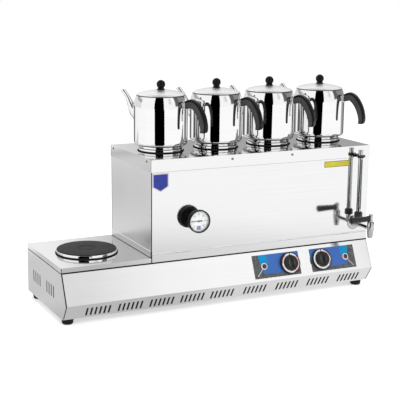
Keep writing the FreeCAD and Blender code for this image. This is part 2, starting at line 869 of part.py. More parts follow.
def heating_element():
    """Three hairpin tubes on a screwed flange in the tank's floor, with their terminals below it."""
    item = doc.addObject("Part::Feature", "heating_element")
    value = {key: getattr(sheet, key) for key in SIZES if key.startswith("element")}
    floor = (deck_top + s.fit + s.tank_wall + s.fit).number
    middle = Vector((boiler_left + s.element_x).number, (front + s.pot_depth).number, floor)
    flange = Part.makeCylinder(value["element_flange"], value["element_flange_rise"], middle)
    drop = floor - (deck_top - s.plate).number + value["element_flange_rise"]
    boss = Part.makeCylinder(value["element_boss"], drop, middle - Vector(0, 0, drop))
    solid = flange.fuse(boss)
    bend = value["element_bend"]
    for side in (-1, 0, 1):
        foot = middle + Vector(bend, side * value["element_pitch"], value["element_flange_rise"] - 1)
        low = foot + Vector(0, 0, bend * 1.5)
        tip_x = -value["element_reach"]
        high = low + Vector(0, 0, bend * 2)
        corner = bend * math.sqrt(0.5)
        path = [
            Part.LineSegment(foot + Vector(-bend * 2, 0, 0), low + Vector(-bend * 2, 0, -bend)),
            Part.Arc(low + Vector(-bend * 2, 0, -bend), low + Vector(-bend * 3 + corner, 0, -bend + corner),
                     low + Vector(-bend * 3, 0, 0)),
            Part.LineSegment(low + Vector(-bend * 3, 0, 0), low + Vector(tip_x, 0, 0)),
            Part.Arc(low + Vector(tip_x, 0, 0), low + Vector(tip_x - bend, 0, bend), high + Vector(tip_x, 0, 0)),
            Part.LineSegment(high + Vector(tip_x, 0, 0), high + Vector(-bend, 0, 0)),
            Part.Arc(high + Vector(-bend, 0, 0), high + Vector(-bend + corner, 0, -bend + corner),
                     high + Vector(0, 0, -bend)),
            Part.LineSegment(high + Vector(0, 0, -bend), foot)]
        wire = Part.Wire([piece.toShape() for piece in path])
        ring = Part.Wire([Part.Circle(foot + Vector(-bend * 2, 0, 0), Z_AXIS, value["element_tube"]).toShape()])
        tube = wire.makePipeShell([ring], True, False)
        solid = solid.fuse(tube)
        pin_spot = middle + Vector(0, side * value["element_pitch"] * 0.7, -drop - 8)
        solid = solid.fuse(Part.makeCylinder(value["element_tube"] / 2, 10, pin_spot))
    item.Shape = solid.removeSplitter()
    return item


def control_plate(number):
    """Thin face plate on the sloped front, bored for its knob and lamp."""
    plate = doc.addObject("Part::Box", f"control_blank_{number + 1}")
    bind(plate, "Length", s.control_width)
    bind(plate, "Width", s.control_height)
    bind(plate, "Height", s.control_thick)
    place_on_face(plate, control_left(number), s.control_drop + s.control_height, s.fit / 3)
    holes = []
    for x, radius in zip(control_centres(number), (s.bushing_radius, s.lamp_body)):
        hole = cylinder("plate_hole", 0, 0, 0, radius + s.fit, s.control_thick * 4)
        holes.append(place_on_face(hole, x, control_middle(), -s.control_thick))
    return cut(f"control_plate_{number + 1}", plate, holes)


def knob(number):
    """Control knob: round skirt, finger grip with a raised bar and its own shaft."""
    low = s.knob_lift
    skirt_top = low + s.knob_skirt_rise
    grip_top = skirt_top + s.knob_grip_rise
    shaft_low = s.regulator_depth * -0.5
    body = revolve(f"knob_{number + 1}", [
        (0, shaft_low), (s.knob_shaft, shaft_low), (s.knob_shaft, low), (s.knob_skirt - 1, low),
        (s.knob_skirt, low + 1, 1, 1), (s.knob_skirt - 1.2, skirt_top), (s.knob_grip, skirt_top), (s.knob_grip - 2.5, grip_top), (0, grip_top)])
    bar = new_sketch(body, "XY_Plane", grip_top - 1)
    half = s.knob_bar_width / 2
    reach = s.knob_grip - 5
    add_outline(bar, [(-half, -reach), (half, -reach, half + 2, 1), (half, reach), (-half, reach, half + 2, 1)])
    pad(body, bar, s.knob_bar_rise + 1)
    top = (grip_top + s.knob_bar_rise).number
    soften(body, 2, lambda edge: edge.BoundBox.ZMin > top - 0.1)
    x = control_centres(number)[0]
    return place_on_face(body, x, control_middle(), s.control_thick)


def knob_scale(number):
    """Pale scale ring set on the knob's skirt."""
    high = s.knob_lift + s.knob_skirt_rise
    ring = revolve(f"knob_scale_{number + 1}", [
        (s.scale_inner, high + 0.05), (s.scale_outer, high + 0.05), (s.scale_outer, high + s.scale_thick),
        (s.scale_inner, high + s.scale_thick)])
    x = control_centres(number)[0]
    return place_on_face(ring, x, control_middle(), s.control_thick)


def heat_regulators():
    """The two regulators behind the panel, each with the bushing that its knob's shaft turns in."""
    pieces = []
    for number in range(2):
        x = control_centres(number)[0]
        size = s.regulator_size
        deep = s.regulator_depth
        housing = doc.addObject("Part::Box", f"regulator_housing_{number}")
        bind(housing, "Length", size)
        bind(housing, "Width", size)
        bind(housing, "Height", deep)
        back_gap = s.plate + s.fit * 2
        place_on_face(housing, x - size / 2, control_middle() + size / 2, -(deep + back_gap))
        bushing = cylinder(f"regulator_bushing_{number}", 0, 0, 0, s.bushing_radius, back_gap * 2 + s.control_thick + 1)
        place_on_face(bushing, x, control_middle(), -back_gap - 1)
        bore = cylinder(f"regulator_bore_{number}", 0, 0, 0, s.knob_shaft + s.plug_play, deep + s.bushing_rise * 4)
        place_on_face(bore, x, control_middle(), -deep)
        pieces.append(cut(f"regulator_{number}", fuse(f"regulator_solid_{number}", [housing, bushing]), [bore]))
    return group("heat_regulators", pieces)


def lamp_bezels():
    """The two bright rings round the indicator lamps."""
    pieces = []
    for number in range(2):
        ring = revolve(f"lamp_bezel_{number}", [
            (s.lamp_lens + s.fit, s.fit / 3), (s.lamp_bezel, s.fit / 3), (s.lamp_bezel, s.lamp_bezel_rise / 2),
            (s.lamp_bezel - 1.5, s.lamp_bezel_rise), (s.lamp_lens + s.fit, s.lamp_bezel_rise)])
        pieces.append(place_on_face(ring, control_centres(number)[1], control_middle(), s.control_thick + s.fit / 3))
    return group("lamp_bezels", pieces)


def lamp_lenses():
    """The two red lamps: a domed lens on a round holder that passes through the panel."""
    pieces = []
    dome = s.lamp_lens_dome
    curve = (s.lamp_lens * s.lamp_lens + dome * dome) / (dome * 2)
    for number in range(2):
        lens = revolve(f"lamp_lens_{number}", [
            (0, -s.lamp_reach), (s.lamp_body, -s.lamp_reach), (s.lamp_body, s.fit), (s.lamp_lens, s.fit),
            (s.lamp_lens, s.lamp_bezel_rise), (0, s.lamp_bezel_rise + dome, curve, 1)])
        pieces.append(place_on_face(lens, control_centres(number)[1], control_middle(), s.control_thick + s.fit / 3))
    return group("lamp_lenses", pieces)


def place_gauge(item):
    """Put a gauge piece on its axis, its own Z axis pointing to the front."""
    return place(item, boiler_left + s.gauge_x, panel_front - s.gauge_back, ground + s.gauge_rise, X_AXIS, 90)


def gauge_housing():
    """Round black housing of the gauge, open to the front."""
    inner = s.gauge_radius - s.gauge_wall
    return place_gauge(revolve("gauge_housing", [
        (0, 0), (s.gauge_radius - 4, 0), (s.gauge_radius, 4, 4, 1), (s.gauge_radius, s.gauge_depth),
        (inner, s.gauge_depth), (inner, s.gauge_wall * 2), (0, s.gauge_wall * 2)]))


def gauge_bezel():
    """Bright ring that holds the glass on the housing."""
    outer = s.gauge_radius + s.fit + s.gauge_wall
    lap = s.gauge_radius - s.gauge_bezel_lap
    high = s.gauge_depth + s.gauge_wall * 2.4
    return place_gauge(revolve("gauge_bezel", [
        (s.gauge_radius + s.fit, s.gauge_depth - 6), (outer, s.gauge_depth - 6), (outer, high - 1),
        (outer - 1, high, 1, 1), (lap, high), (lap, high - s.gauge_wall),
        (s.gauge_radius + s.fit, high - s.gauge_wall)]))


def gauge_dial():
    """Pale dial plate with the needle's bearing hole, carried on a post from the housing's back."""
    inner = s.gauge_radius - s.gauge_wall - s.fit
    low = s.gauge_depth - 6
    post = s.gauge_wall * 2 + s.fit
    return place_gauge(revolve("gauge_dial", [
        (1.05, post), (4, post), (4, low), (inner, low), (inner, low + 1), (1.05, low + 1)]))


def gauge_needle():
    """Needle with a hub and a pivot pin that turns in the dial's hole."""
    low = s.gauge_depth - 5 + s.fit
    body = revolve("gauge_needle", [
        (0, low - 6), (1, low - 6), (1, low), (3.5, low), (3.5, low + 1.4), (0, low + 1.4)])
    blade = new_sketch(body, "XY_Plane", low)
    length = s.gauge_radius * 0.76
    tail = length * 0.4
    add_outline(blade, [(-length, -0.4), (0, -1.8), (tail, -2.2), (tail, 2.2), (0, 1.8), (-length, 0.4)])
    pad(body, blade, 0.7)
    return place_gauge(body)


def gauge_glass():
    """Flat glass between the housing's edge and the bezel."""
    low = s.gauge_depth + s.fit / 3
    radius = s.gauge_radius - s.fit
    return place_gauge(revolve("gauge_glass", [(0, low), (radius, low), (radius, low + 1.6), (0, low + 1.6)]))


def gauge_stem():
    """Stem that carries the gauge, with its hexagon at the panel and its probe in the water."""
    x = boiler_left + s.gauge_x
    z = ground + s.gauge_rise
    start = panel_front - s.gauge_back + s.fit
    reach = s.gauge_back + s.gauge_probe
    rod = cylinder("stem_rod", x, start, z, s.gauge_stem, reach, X_AXIS, -90)
    nut = doc.addObject("Part::Prism", "stem_nut")
    nut.Polygon = 6
    bind(nut, "Circumradius", s.gauge_hex)
    bind(nut, "Height", s.gauge_hex * 0.9)
    place(nut, x, panel_front - s.fit, z, X_AXIS, 90)
    return fuse("gauge_stem", [rod, nut])


def tap_flange():
    """Round rose that covers the tap's hole in the panel."""
    rose = revolve("tap_flange", [
        (s.tap_shank + s.fit, s.fit / 3), (s.tap_flange, s.fit / 3), (s.tap_flange, s.tap_flange_thick / 2),
        (s.tap_flange - 3, s.tap_flange_thick), (s.tap_shank + s.fit, s.tap_flange_thick)])
    return place(rose, tap_x, panel_front, ground + s.tap_rise, X_AXIS, 90)


def tap_body():
    """Cast tap: shank into the tank, arm, boss of the sight glass, plug barrel and spout, with the water way."""
    x = tap_x
    z = ground + s.tap_rise
    axis_y = front - s.tap_reach
    shank_end = front + s.tank_gap * 2
    hub = front - s.tap_flange_thick * 3
    shank = cylinder("tap_shank", x, shank_end, z, s.tap_shank, shank_end - hub, X_AXIS, 90)
    collar = cylinder("tap_collar", x, panel_front - s.tap_flange_thick - s.fit, z, s.tap_shank + 3, 6, X_AXIS, 90)
    arm = cylinder("tap_arm", x, hub + 1, z, s.tap_arm, hub + 1 - axis_y, X_AXIS, 90)
    boss_y = front - s.sight_reach
    boss = cylinder("tap_boss", x, boss_y, z, s.sight_boss, s.sight_start - s.fit)
    barrel = revolve("tap_barrel", [
        (0, -s.spout_drop), (s.spout_radius, -s.spout_drop), (s.tap_barrel, -s.tap_arm * 0.7),
        (s.tap_barrel, s.tap_barrel_rise), (0, s.tap_barrel_rise)])
    place(barrel, x, axis_y, z)
    solid = fuse("tap_solid", [shank, collar, arm, boss, barrel])
    plug_low = s.tap_arm * -1.4
    seat = doc.addObject("Part::Cone", "plug_seat")
    bind(seat, "Radius1", s.plug_radius - s.plug_taper + s.plug_play)
    bind(seat, "Radius2", s.plug_radius + s.plug_play)
    bind(seat, "Height", s.tap_barrel_rise - plug_low)
    place(seat, x, axis_y, z + plug_low)
    way = cylinder("water_way", x, shank_end + 1, z, s.water_bore, shank_end + 1 - axis_y, X_AXIS, 90)
    rise = cylinder("sight_way", x, boss_y, z, s.water_bore / 2, s.sight_start)
    outlet = cylinder("spout_way", x, axis_y, z - s.spout_drop - 1, s.water_bore, s.spout_drop)
    return cut("tap_body", solid, [seat, way, rise, outlet])


def tap_plug():
    """Tapered plug with a cross port that opens the water way when its lever is swung out."""
    x = tap_x
    axis_y = front - s.tap_reach
    z = ground + s.tap_rise
    low = s.tap_arm * -1.4 + s.plug_play
    cone = doc.addObject("Part::Cone", "plug_cone")
    bind(cone, "Radius1", s.plug_radius - s.plug_taper)
    bind(cone, "Radius2", s.plug_radius)
    bind(cone, "Height", s.tap_barrel_rise - low)
    place(cone, x, axis_y, z + low)
    stem = cylinder("plug_stem", x, axis_y, z + s.tap_barrel_rise - 1, s.hub_radius / 2, s.hub_rise - 4)
    port = cylinder("plug_port", x - s.plug_radius * 1.2, axis_y, z, s.water_bore * 0.8, s.plug_radius * 1.2, Y_AXIS, 90)
    drain = cylinder("plug_drain", x, axis_y, z + low - 1, s.water_bore * 0.8, 1 - low)
    return cut("tap_plug", fuse("plug_solid", [cone, stem]), [port, drain])


def lever_height():
    """Return the height of the tap lever's axis."""
    return ground + s.tap_rise + s.tap_barrel_rise + s.fit + s.lever_lift


def tap_lever():
    """Bright hub nut on the plug with the rod that carries the grip."""
    x = tap_x
    axis_y = front - s.tap_reach
    low = ground + s.tap_rise + s.tap_barrel_rise + s.fit
    hub = revolve("lever_hub", [
        (s.hub_radius / 2 + s.plug_play, 0), (s.hub_radius, 0), (s.hub_radius, s.hub_rise - 3),
        (s.hub_radius - 3, s.hub_rise, 3, 1), (0, s.hub_rise), (0, s.hub_rise - 4), (s.hub_radius / 2 + s.plug_play, s.hub_rise - 4)])
    place(hub, x, axis_y, low)
    rod = cylinder("lever_rod", x - s.hub_radius + 1, axis_y, lever_height(), s.lever_rod,
                   s.grip_length * 0.7 - s.hub_radius, Y_AXIS, -90)
    return fuse("tap_lever", [hub, rod])


def tap_grip():
    """Black turned grip with its collar, pushed on the lever's rod."""
    bore = s.lever_rod + s.plug_play
    depth = s.grip_length * 0.75
    start = s.hub_radius + s.fit
    tip = start + s.grip_length
    neck = start + 4
    grip = revolve("tap_grip", [
        (bore, start), (s.grip_collar, start), (s.grip_collar, neck), (s.grip_neck, neck),
        (s.grip_radius, tip - 1.5), (s.grip_radius - 1.5, tip, 1.5, 1), (0, tip), (0, depth), (bore, depth)])
    return place(grip, tap_x, front - s.tap_reach, lever_height(), Y_AXIS, -90)


def sight_axis():
    """Return the place of the sight glass's axis."""
    return tap_x, front - s.sight_reach


def sight_nut():
    """Eight-sided black nut that seals the glass on the tap's boss."""
    x, y = sight_axis()
    low = ground + s.tap_rise + s.sight_start
    nut = doc.addObject("Part::Prism", "nut_prism")
    nut.Polygon = 8
    bind(nut, "Circumradius", s.nut_radius)
    bind(nut, "Height", s.nut_rise)
    place(nut, x, y, low)
    dome = doc.addObject("Part::Cone", "nut_dome")
    bind(dome, "Radius1", s.nut_radius + s.nut_rise * 0.75)
    bind(dome, "Radius2", s.guard_radius + 1.5)
    bind(dome, "Height", s.nut_rise)
    place(dome, x, y, low)
    whole = doc.addObject("Part::MultiCommon", "nut_solid")
    whole.Shapes = [nut, dome]
    bore = cylinder("nut_bore", x, y, low + s.nut_rise / 2, s.guard_radius + s.fit, s.nut_rise)
    way = cylinder("nut_way", x, y, low - 1, s.water_bore / 2, s.nut_rise)
    return cut("sight_nut", whole, [bore, way])


def guard_low():
    """Return the lower end of the sight glass and its guard."""
    return ground + s.tap_rise + s.sight_start + s.nut_rise / 2 + s.fit


def sight_glass():
    """Glass tube that shows the water level."""
    x, y = sight_axis()
    rise = ground + s.guard_top - s.guard_wall * 4 - guard_low()
    outer = cylinder("glass_outer", x, y, guard_low(), s.glass_radius, rise)
    inner = cylinder("glass_inner", x, y, guard_low() - 1, s.glass_radius - s.glass_wall, rise + 2)
    return cut("sight_glass", outer, [inner])


def sight_guard():
    """Bright guard tube round the glass, slotted to the front and capped on top."""
    x, y = sight_axis()
    low = guard_low()
    top = ground + s.guard_top
    outer = cylinder("guard_outer", x, y, low, s.guard_radius, top - low)
    inner = cylinder("guard_inner", x, y, low - 1, s.guard_radius - s.guard_wall, top - low - s.guard_wall * 2)
    window_low = low + s.nut_rise
    window = box("guard_window", x - s.guard_slot / 2, y - s.guard_radius * 2, window_low,
                 s.guard_slot, s.guard_radius * 2, ground + s.clamp_rise - s.clamp_height - window_low)
    return cut("sight_guard", outer, [inner, window])


def sight_bracket():
    """Black clamp that holds the guard's upper end to the cover's skirt."""
    x, y = sight_axis()
    z = ground + s.clamp_rise - s.clamp_height / 2
    ring = cylinder("clamp_outer", x, y, z, s.clamp_ring, s.clamp_height)
    stay_end = front - s.fit
    screw_end = front + s.tank_gap * 0.6
    stay = box("clamp_stay", x - 3, y, z + 1, 6, stay_end - y, s.clamp_height - 2)
    foot = box("clamp_foot", x - s.clamp_ring, stay_end - 3, z, s.clamp_ring * 2, 3, s.clamp_height)
    screw = cylinder("clamp_screw", x, screw_end, ground + s.clamp_rise, s.screw_radius,
                     screw_end - stay_end + 1, X_AXIS, 90)
    lug = box("clamp_lug", x + s.clamp_ring - 3, y - 3, z + 1, 8, 6, s.clamp_height - 2)
    bore = cylinder("clamp_bore", x, y, z - 1, s.guard_radius + s.fit / 3, s.clamp_height + 2)
    return cut("sight_bracket", fuse("clamp_solid", [ring, stay, foot, screw, lug]), [bore])


def cable_gland():
    """Gland in the back panel for the supply cable."""
    gland = revolve("cable_gland", [
        (s.gland_bore, -10), (s.gland_thread, -10), (s.gland_thread, s.fit / 3), (s.gland_radius, s.fit / 3),
        (s.gland_radius, 8), (s.gland_thread, 14), (s.gland_thread - 2, 20), (s.gland_bore, 20)])
    return place(gland, right - s.gland_inset, back, ground + s.gland_rise, X_AXIS, -90)


def spout_loft(number, grow):
    """Return a swan-neck solid lofted through five rings, shrunk by the given wall."""
    turn = s.handle_turn + 180
    x, y = pot_spots()[number]
    rings = [
        (s.pot_radius - s.spout_root_radius, s.spout_root_rise, s.spout_root_radius, 75),
        ((s.pot_radius + s.spout_mid_reach) / 2, (s.spout_root_rise + s.spout_mid_rise) / 2 + 1,
         (s.spout_root_radius + s.spout_mid_radius) / 2 - 1.5, 48),
        (s.spout_mid_reach, s.spout_mid_rise, s.spout_mid_radius, 22),
        (s.spout_mid_reach * 0.53 + s.spout_tip_reach * 0.47, (s.spout_mid_rise + s.spout_tip_rise) / 2 + 4,
         (s.spout_mid_radius + s.spout_tip_radius) / 2 - 2.2, 30),
        (s.spout_tip_reach, s.spout_tip_rise, s.spout_tip_radius, 26)]
    sections = []
    for reach, rise, radius, tilt in rings:
        ring = doc.addObject("Part::Circle", "spout_ring")
        bind(ring, "Radius", radius - grow)
        point = [x + reach * turn.cosine(), y + reach * turn.sine(), boiler_top + rise]
        ring.Placement = Placement(Vector(*[value.number for value in point]),
                                   Rotation(Z_AXIS, turn.number) * Rotation(Y_AXIS, tilt))
        for letter, value in zip("xyz", point):
            ring.setExpression(f"Placement.Base.{letter}", value.text)
        sections.append(ring)
    loft = doc.addObject("Part::Loft", "spout_loft")
    loft.Sections = sections
    loft.Solid = True
    loft.Ruled = False
    return loft


def pot_body(number):
    """Teapot: stepped spigot bottom, straight wall with the spout's opening, drawn-in shoulder and handle tab."""
    x, y = pot_spots()[number]
    wall = s.pot_wall
    seat = s.collar_rise + s.fit
    low = -s.pot_spigot_drop
    corner = s.pot_corner
    flare = s.pot_foot_rise + 1.5
    rise = s.pot_rise - s.pot_shoulder
    shrink = s.pot_radius - s.pot_mouth
    bend = (rise * rise + shrink * shrink) / (shrink * 2)
    shell = revolve(f"pot_shell_{number}", [
        (0, low), (s.pot_spigot - 3, low), (s.pot_spigot, low + 3, 3, 1), (s.pot_spigot, seat),
        (s.pot_foot, seat), (s.pot_foot, s.pot_foot_rise), (s.pot_radius - corner, flare),
        (s.pot_radius, flare + corner, corner, 1), (s.pot_radius, s.pot_shoulder),
        (s.pot_mouth, s.pot_rise, bend, 1), (s.pot_mouth - wall, s.pot_rise),
        (s.pot_radius - wall, s.pot_shoulder, bend - wall, -1), (s.pot_radius - wall, flare + corner),
        (s.pot_radius - corner, flare + wall, corner - wall, -1), (s.pot_foot - wall, s.pot_foot_rise + wall),
        (s.pot_foot - wall, seat + wall), (s.pot_spigot - wall, seat + wall), (s.pot_spigot - wall, low + 3),
        (s.pot_spigot - 3, low + wall, 3 - wall, -1), (0, low + wall)])
    place(shell, x, y, boiler_top)
    tab = box(f"pot_tab_{number}", 0, 0, 0, s.tab_reach - s.pot_radius + 3, s.tab_width, s.tab_high - s.tab_low)
    turn = s.handle_turn
    start = s.pot_radius - 3
    half = s.tab_width / 2
    place(tab, x + start * turn.cosine() + half * turn.sine(), y + start * turn.sine() - half * turn.cosine(),
          boiler_top + s.tab_low, Z_AXIS, turn)
    inside = revolve(f"pot_inside_{number}", [
        (0, flare + corner), (s.pot_radius - wall, flare + corner), (s.pot_radius - wall, s.pot_shoulder),
        (s.pot_mouth - wall, s.pot_rise, bend - wall, 1), (0, s.pot_rise)])
    place(inside, x, y, boiler_top)
    whole = fuse(f"pot_whole_{number}", [shell, cut(f"pot_lug_{number}", tab, [inside])])
    return cut(f"teapot_{number + 1}_body", whole, [spout_loft(number, s.spout_wall)])


def pot_spout(number):
    """Thin-walled spout, its root cut to lie on the pot's wall."""
    x, y = pot_spots()[number]
    core = cylinder(f"spout_core_{number}", x, y, boiler_top, s.pot_radius + s.plug_play, s.pot_rise)
    return cut(f"teapot_{number + 1}_spout", spout_loft(number, 0), [core, spout_loft(number, s.spout_wall)])


def pot_grip(number):
    """Moulded handle: an arched grip that hangs down beside the pot."""
    body = new_body(f"teapot_{number + 1}_grip")
    side = new_sketch(body, "XZ_Plane")
    root = s.tab_reach + s.fit
    reach = s.handle_reach
    add_outline(side, [
        (root, s.tab_low - 1), (root + 20, s.handle_peak - 27), (reach - 20, s.handle_end + 6, 92, -1),
        (reach - 22, s.handle_end), (reach - 1, s.handle_end, 22, 1), (reach, s.handle_end + 18, 60, 1),
        (root + 20, s.handle_peak, 92, 1), (root, s.handle_peak - 7)])
    pad(body, side, s.handle_width, side="Symmetric")
    soften(body, s.handle_round, lambda edge: abs(edge.BoundBox.YMax - edge.BoundBox.YMin) < 0.01
           and edge.BoundBox.XMax > root.number + 1)
    x, y = pot_spots()[number]
    return place(body, x, y, boiler_top, Z_AXIS, s.handle_turn)


def pot_lid(number):
    """Low domed lid with a plug rim that drops into the mouth."""
    low = s.pot_rise + s.fit
    outer = s.pot_mouth + s.lid_lap
    dome = (outer * outer + s.lid_dome * s.lid_dome) / (s.lid_dome * 2)
    plug = s.pot_mouth - s.pot_wall - s.lid_play
    skin = s.pot_wall
    top = low + skin + s.lid_dome
    hole = s.screw_radius + s.screw_play
    lid = revolve(f"teapot_{number + 1}_lid", [
        (plug - skin, low - s.lid_plug_drop), (plug, low - s.lid_plug_drop), (plug, low), (outer, low),
        (outer, low + skin), (hole, top, dome, 1), (hole, top - skin), (plug - skin, low + skin, dome, -1)])
    x, y = pot_spots()[number]
    return place(lid, x, y, boiler_top)


def pot_knob(number):
    """Black ball knob on a flared foot, with its stud and nut through the lid."""
    top = s.pot_rise + s.fit + s.pot_wall + s.lid_dome
    foot = top + s.fit
    centre = s.pot_rise + s.knob_centre
    neck = s.knob_ball / 2
    neck_rise = centre - (s.knob_ball * s.knob_ball - neck * neck).root()
    under = top - s.pot_wall - s.fit
    ball = revolve(f"teapot_{number + 1}_knob", [
        (0, under - 3), (s.screw_radius * 2.2, under - 3), (s.screw_radius * 2.2, under), (s.screw_radius, under),
        (s.screw_radius, foot), (s.knob_foot, foot), (s.knob_foot, foot + 1),
        (neck, neck_rise, 12, -1), (0, centre + s.knob_ball, s.knob_ball, 1)])
    x, y = pot_spots()[number]
    return place(ball, x, y, boiler_top)


def build():
    """Return every piece of the urn by its node name."""
    nodes = {
        "base_front_panel": base_front_panel(),
        "base_side_panels": group("base_side_panels", [
            base_side("base_side_left", left), base_side("base_side_right", right - s.plate)]),
        "base_back_panel": base_back_panel(),
        "base_bottom_plate": base_bottom_plate(),
        "base_top_plate": base_top_plate(),
        "feet": feet(),
        "hotplate_disc": hotplate_disc(),
        "hotplate_rim": hotplate_rim(),
        "hotplate_clamp": hotplate_clamp(),
        "boiler_front_panel": boiler_front_panel(),
        "boiler_back_panel": boiler_back_panel(),
        "boiler_side_panels": group("boiler_side_panels", [
            boiler_side("boiler_side_left", boiler_left, 1, deck_top + s.deck_gap),
            boiler_side("boiler_side_right", right, -1, base_top + s.fit)]),
        "top_cover": top_cover(),
        "cover_screws": cover_screws(),
        "water_tank": water_tank(),
        "heating_element": heating_element(),
        "heat_regulators": heat_regulators(),
        "lamp_bezels": lamp_bezels(),
        "lamp_lenses": lamp_lenses(),
        "gauge_housing": gauge_housing(),
        "gauge_bezel": gauge_bezel(),
        "gauge_dial": gauge_dial(),
        "gauge_needle": gauge_needle(),
        "gauge_glass": gauge_glass(),
        "gauge_stem": gauge_stem(),
        "tap_flange": tap_flange(),
        "tap_body": tap_body(),
        "tap_plug": tap_plug(),
        "tap_lever": tap_lever(),
        "tap_grip": tap_grip(),
        "sight_nut": sight_nut(),
        "sight_glass": sight_glass(),
        "sight_guard": sight_guard(),
        "sight_bracket": sight_bracket(),
        "cable_gland": cable_gland(),
        "control_plates": group("control_plates", [control_plate(0), control_plate(1)]),
    }
    for number in range(2):
        nodes[f"knob_{number + 1}"] = knob(number)
        nodes[f"knob_scale_{number + 1}"] = knob_scale(number)
    for number in range(4):
        nodes[f"teapot_{number + 1}_body"] = pot_body(number)
        nodes[f"teapot_{number + 1}_spout"] = pot_spout(number)
        nodes[f"teapot_{number + 1}_grip"] = pot_grip(number)
        nodes[f"teapot_{number + 1}_lid"] = pot_lid(number)
        nodes[f"teapot_{number + 1}_knob"] = pot_knob(number)
    return nodes


def export(nodes):
    """Check every object and write one file for each node."""
    doc.recompute()
    for item in doc.Objects:
        if "Invalid" in item.State or "Error" in item.State:
            raise RuntimeError(f"{item.Label} did not build")
    for name, item in nodes.items():
        item.Label = name
        if item.Shape.isNull() or not item.Shape.isValid() or not item.Shape.Solids:
            raise RuntimeError(f"{name} has no sound solid")
        item.Shape.exportStep(f"parts/{name}.step")


export(build())
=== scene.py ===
"""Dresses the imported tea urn: finishes, turned and drawn pieces, studio and camera."""

import logging
import math
from dataclasses import dataclass, field
from enum import Enum
from typing import Sequence

import bmesh
import bpy
from mathutils import Matrix, Vector


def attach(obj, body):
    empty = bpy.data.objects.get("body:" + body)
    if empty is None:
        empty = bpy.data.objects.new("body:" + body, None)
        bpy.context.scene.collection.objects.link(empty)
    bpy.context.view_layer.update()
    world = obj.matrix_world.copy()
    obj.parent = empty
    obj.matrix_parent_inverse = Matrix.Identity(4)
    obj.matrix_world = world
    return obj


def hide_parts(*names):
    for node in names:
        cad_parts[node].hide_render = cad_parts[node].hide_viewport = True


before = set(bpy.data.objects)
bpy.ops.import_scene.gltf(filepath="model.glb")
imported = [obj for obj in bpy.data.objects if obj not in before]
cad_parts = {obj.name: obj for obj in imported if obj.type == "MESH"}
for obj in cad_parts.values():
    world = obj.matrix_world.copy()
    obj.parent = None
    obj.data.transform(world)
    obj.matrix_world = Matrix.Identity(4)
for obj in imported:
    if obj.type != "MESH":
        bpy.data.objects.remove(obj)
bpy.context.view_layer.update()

logging.basicConfig(level=logging.INFO, format="%(message)s")
log = logging.getLogger("urn")

MM = 0.001
DECK_TOP = 172.0
BOILER_TOP = 467.0
PANEL_FRONT = -118.5
POTS = 4
FIRST_POT = -142.0
POT_PITCH = 190.0
POT_ROW = 43.0
TAP_X = 471.0
GLASS_Y = -146.0
FACE_UP = Vector((0, 0.4110, 0.9116))
FACE_OUT = Vector((0, -0.9116, 0.4110))
FACE_EDGE = Vector((0, -120, 155))

Point = tuple[float, float]
Corner = tuple[float, float, float]
Color = tuple[float, float, float]
Socket = bpy.types.NodeSocket


class Body(Enum):
    """The record's bodies that do not carry a number."""

    MACHINE = "machine"
    TAP_HANDLE = "tap_handle"
    POINTER = "gauge_pointer"


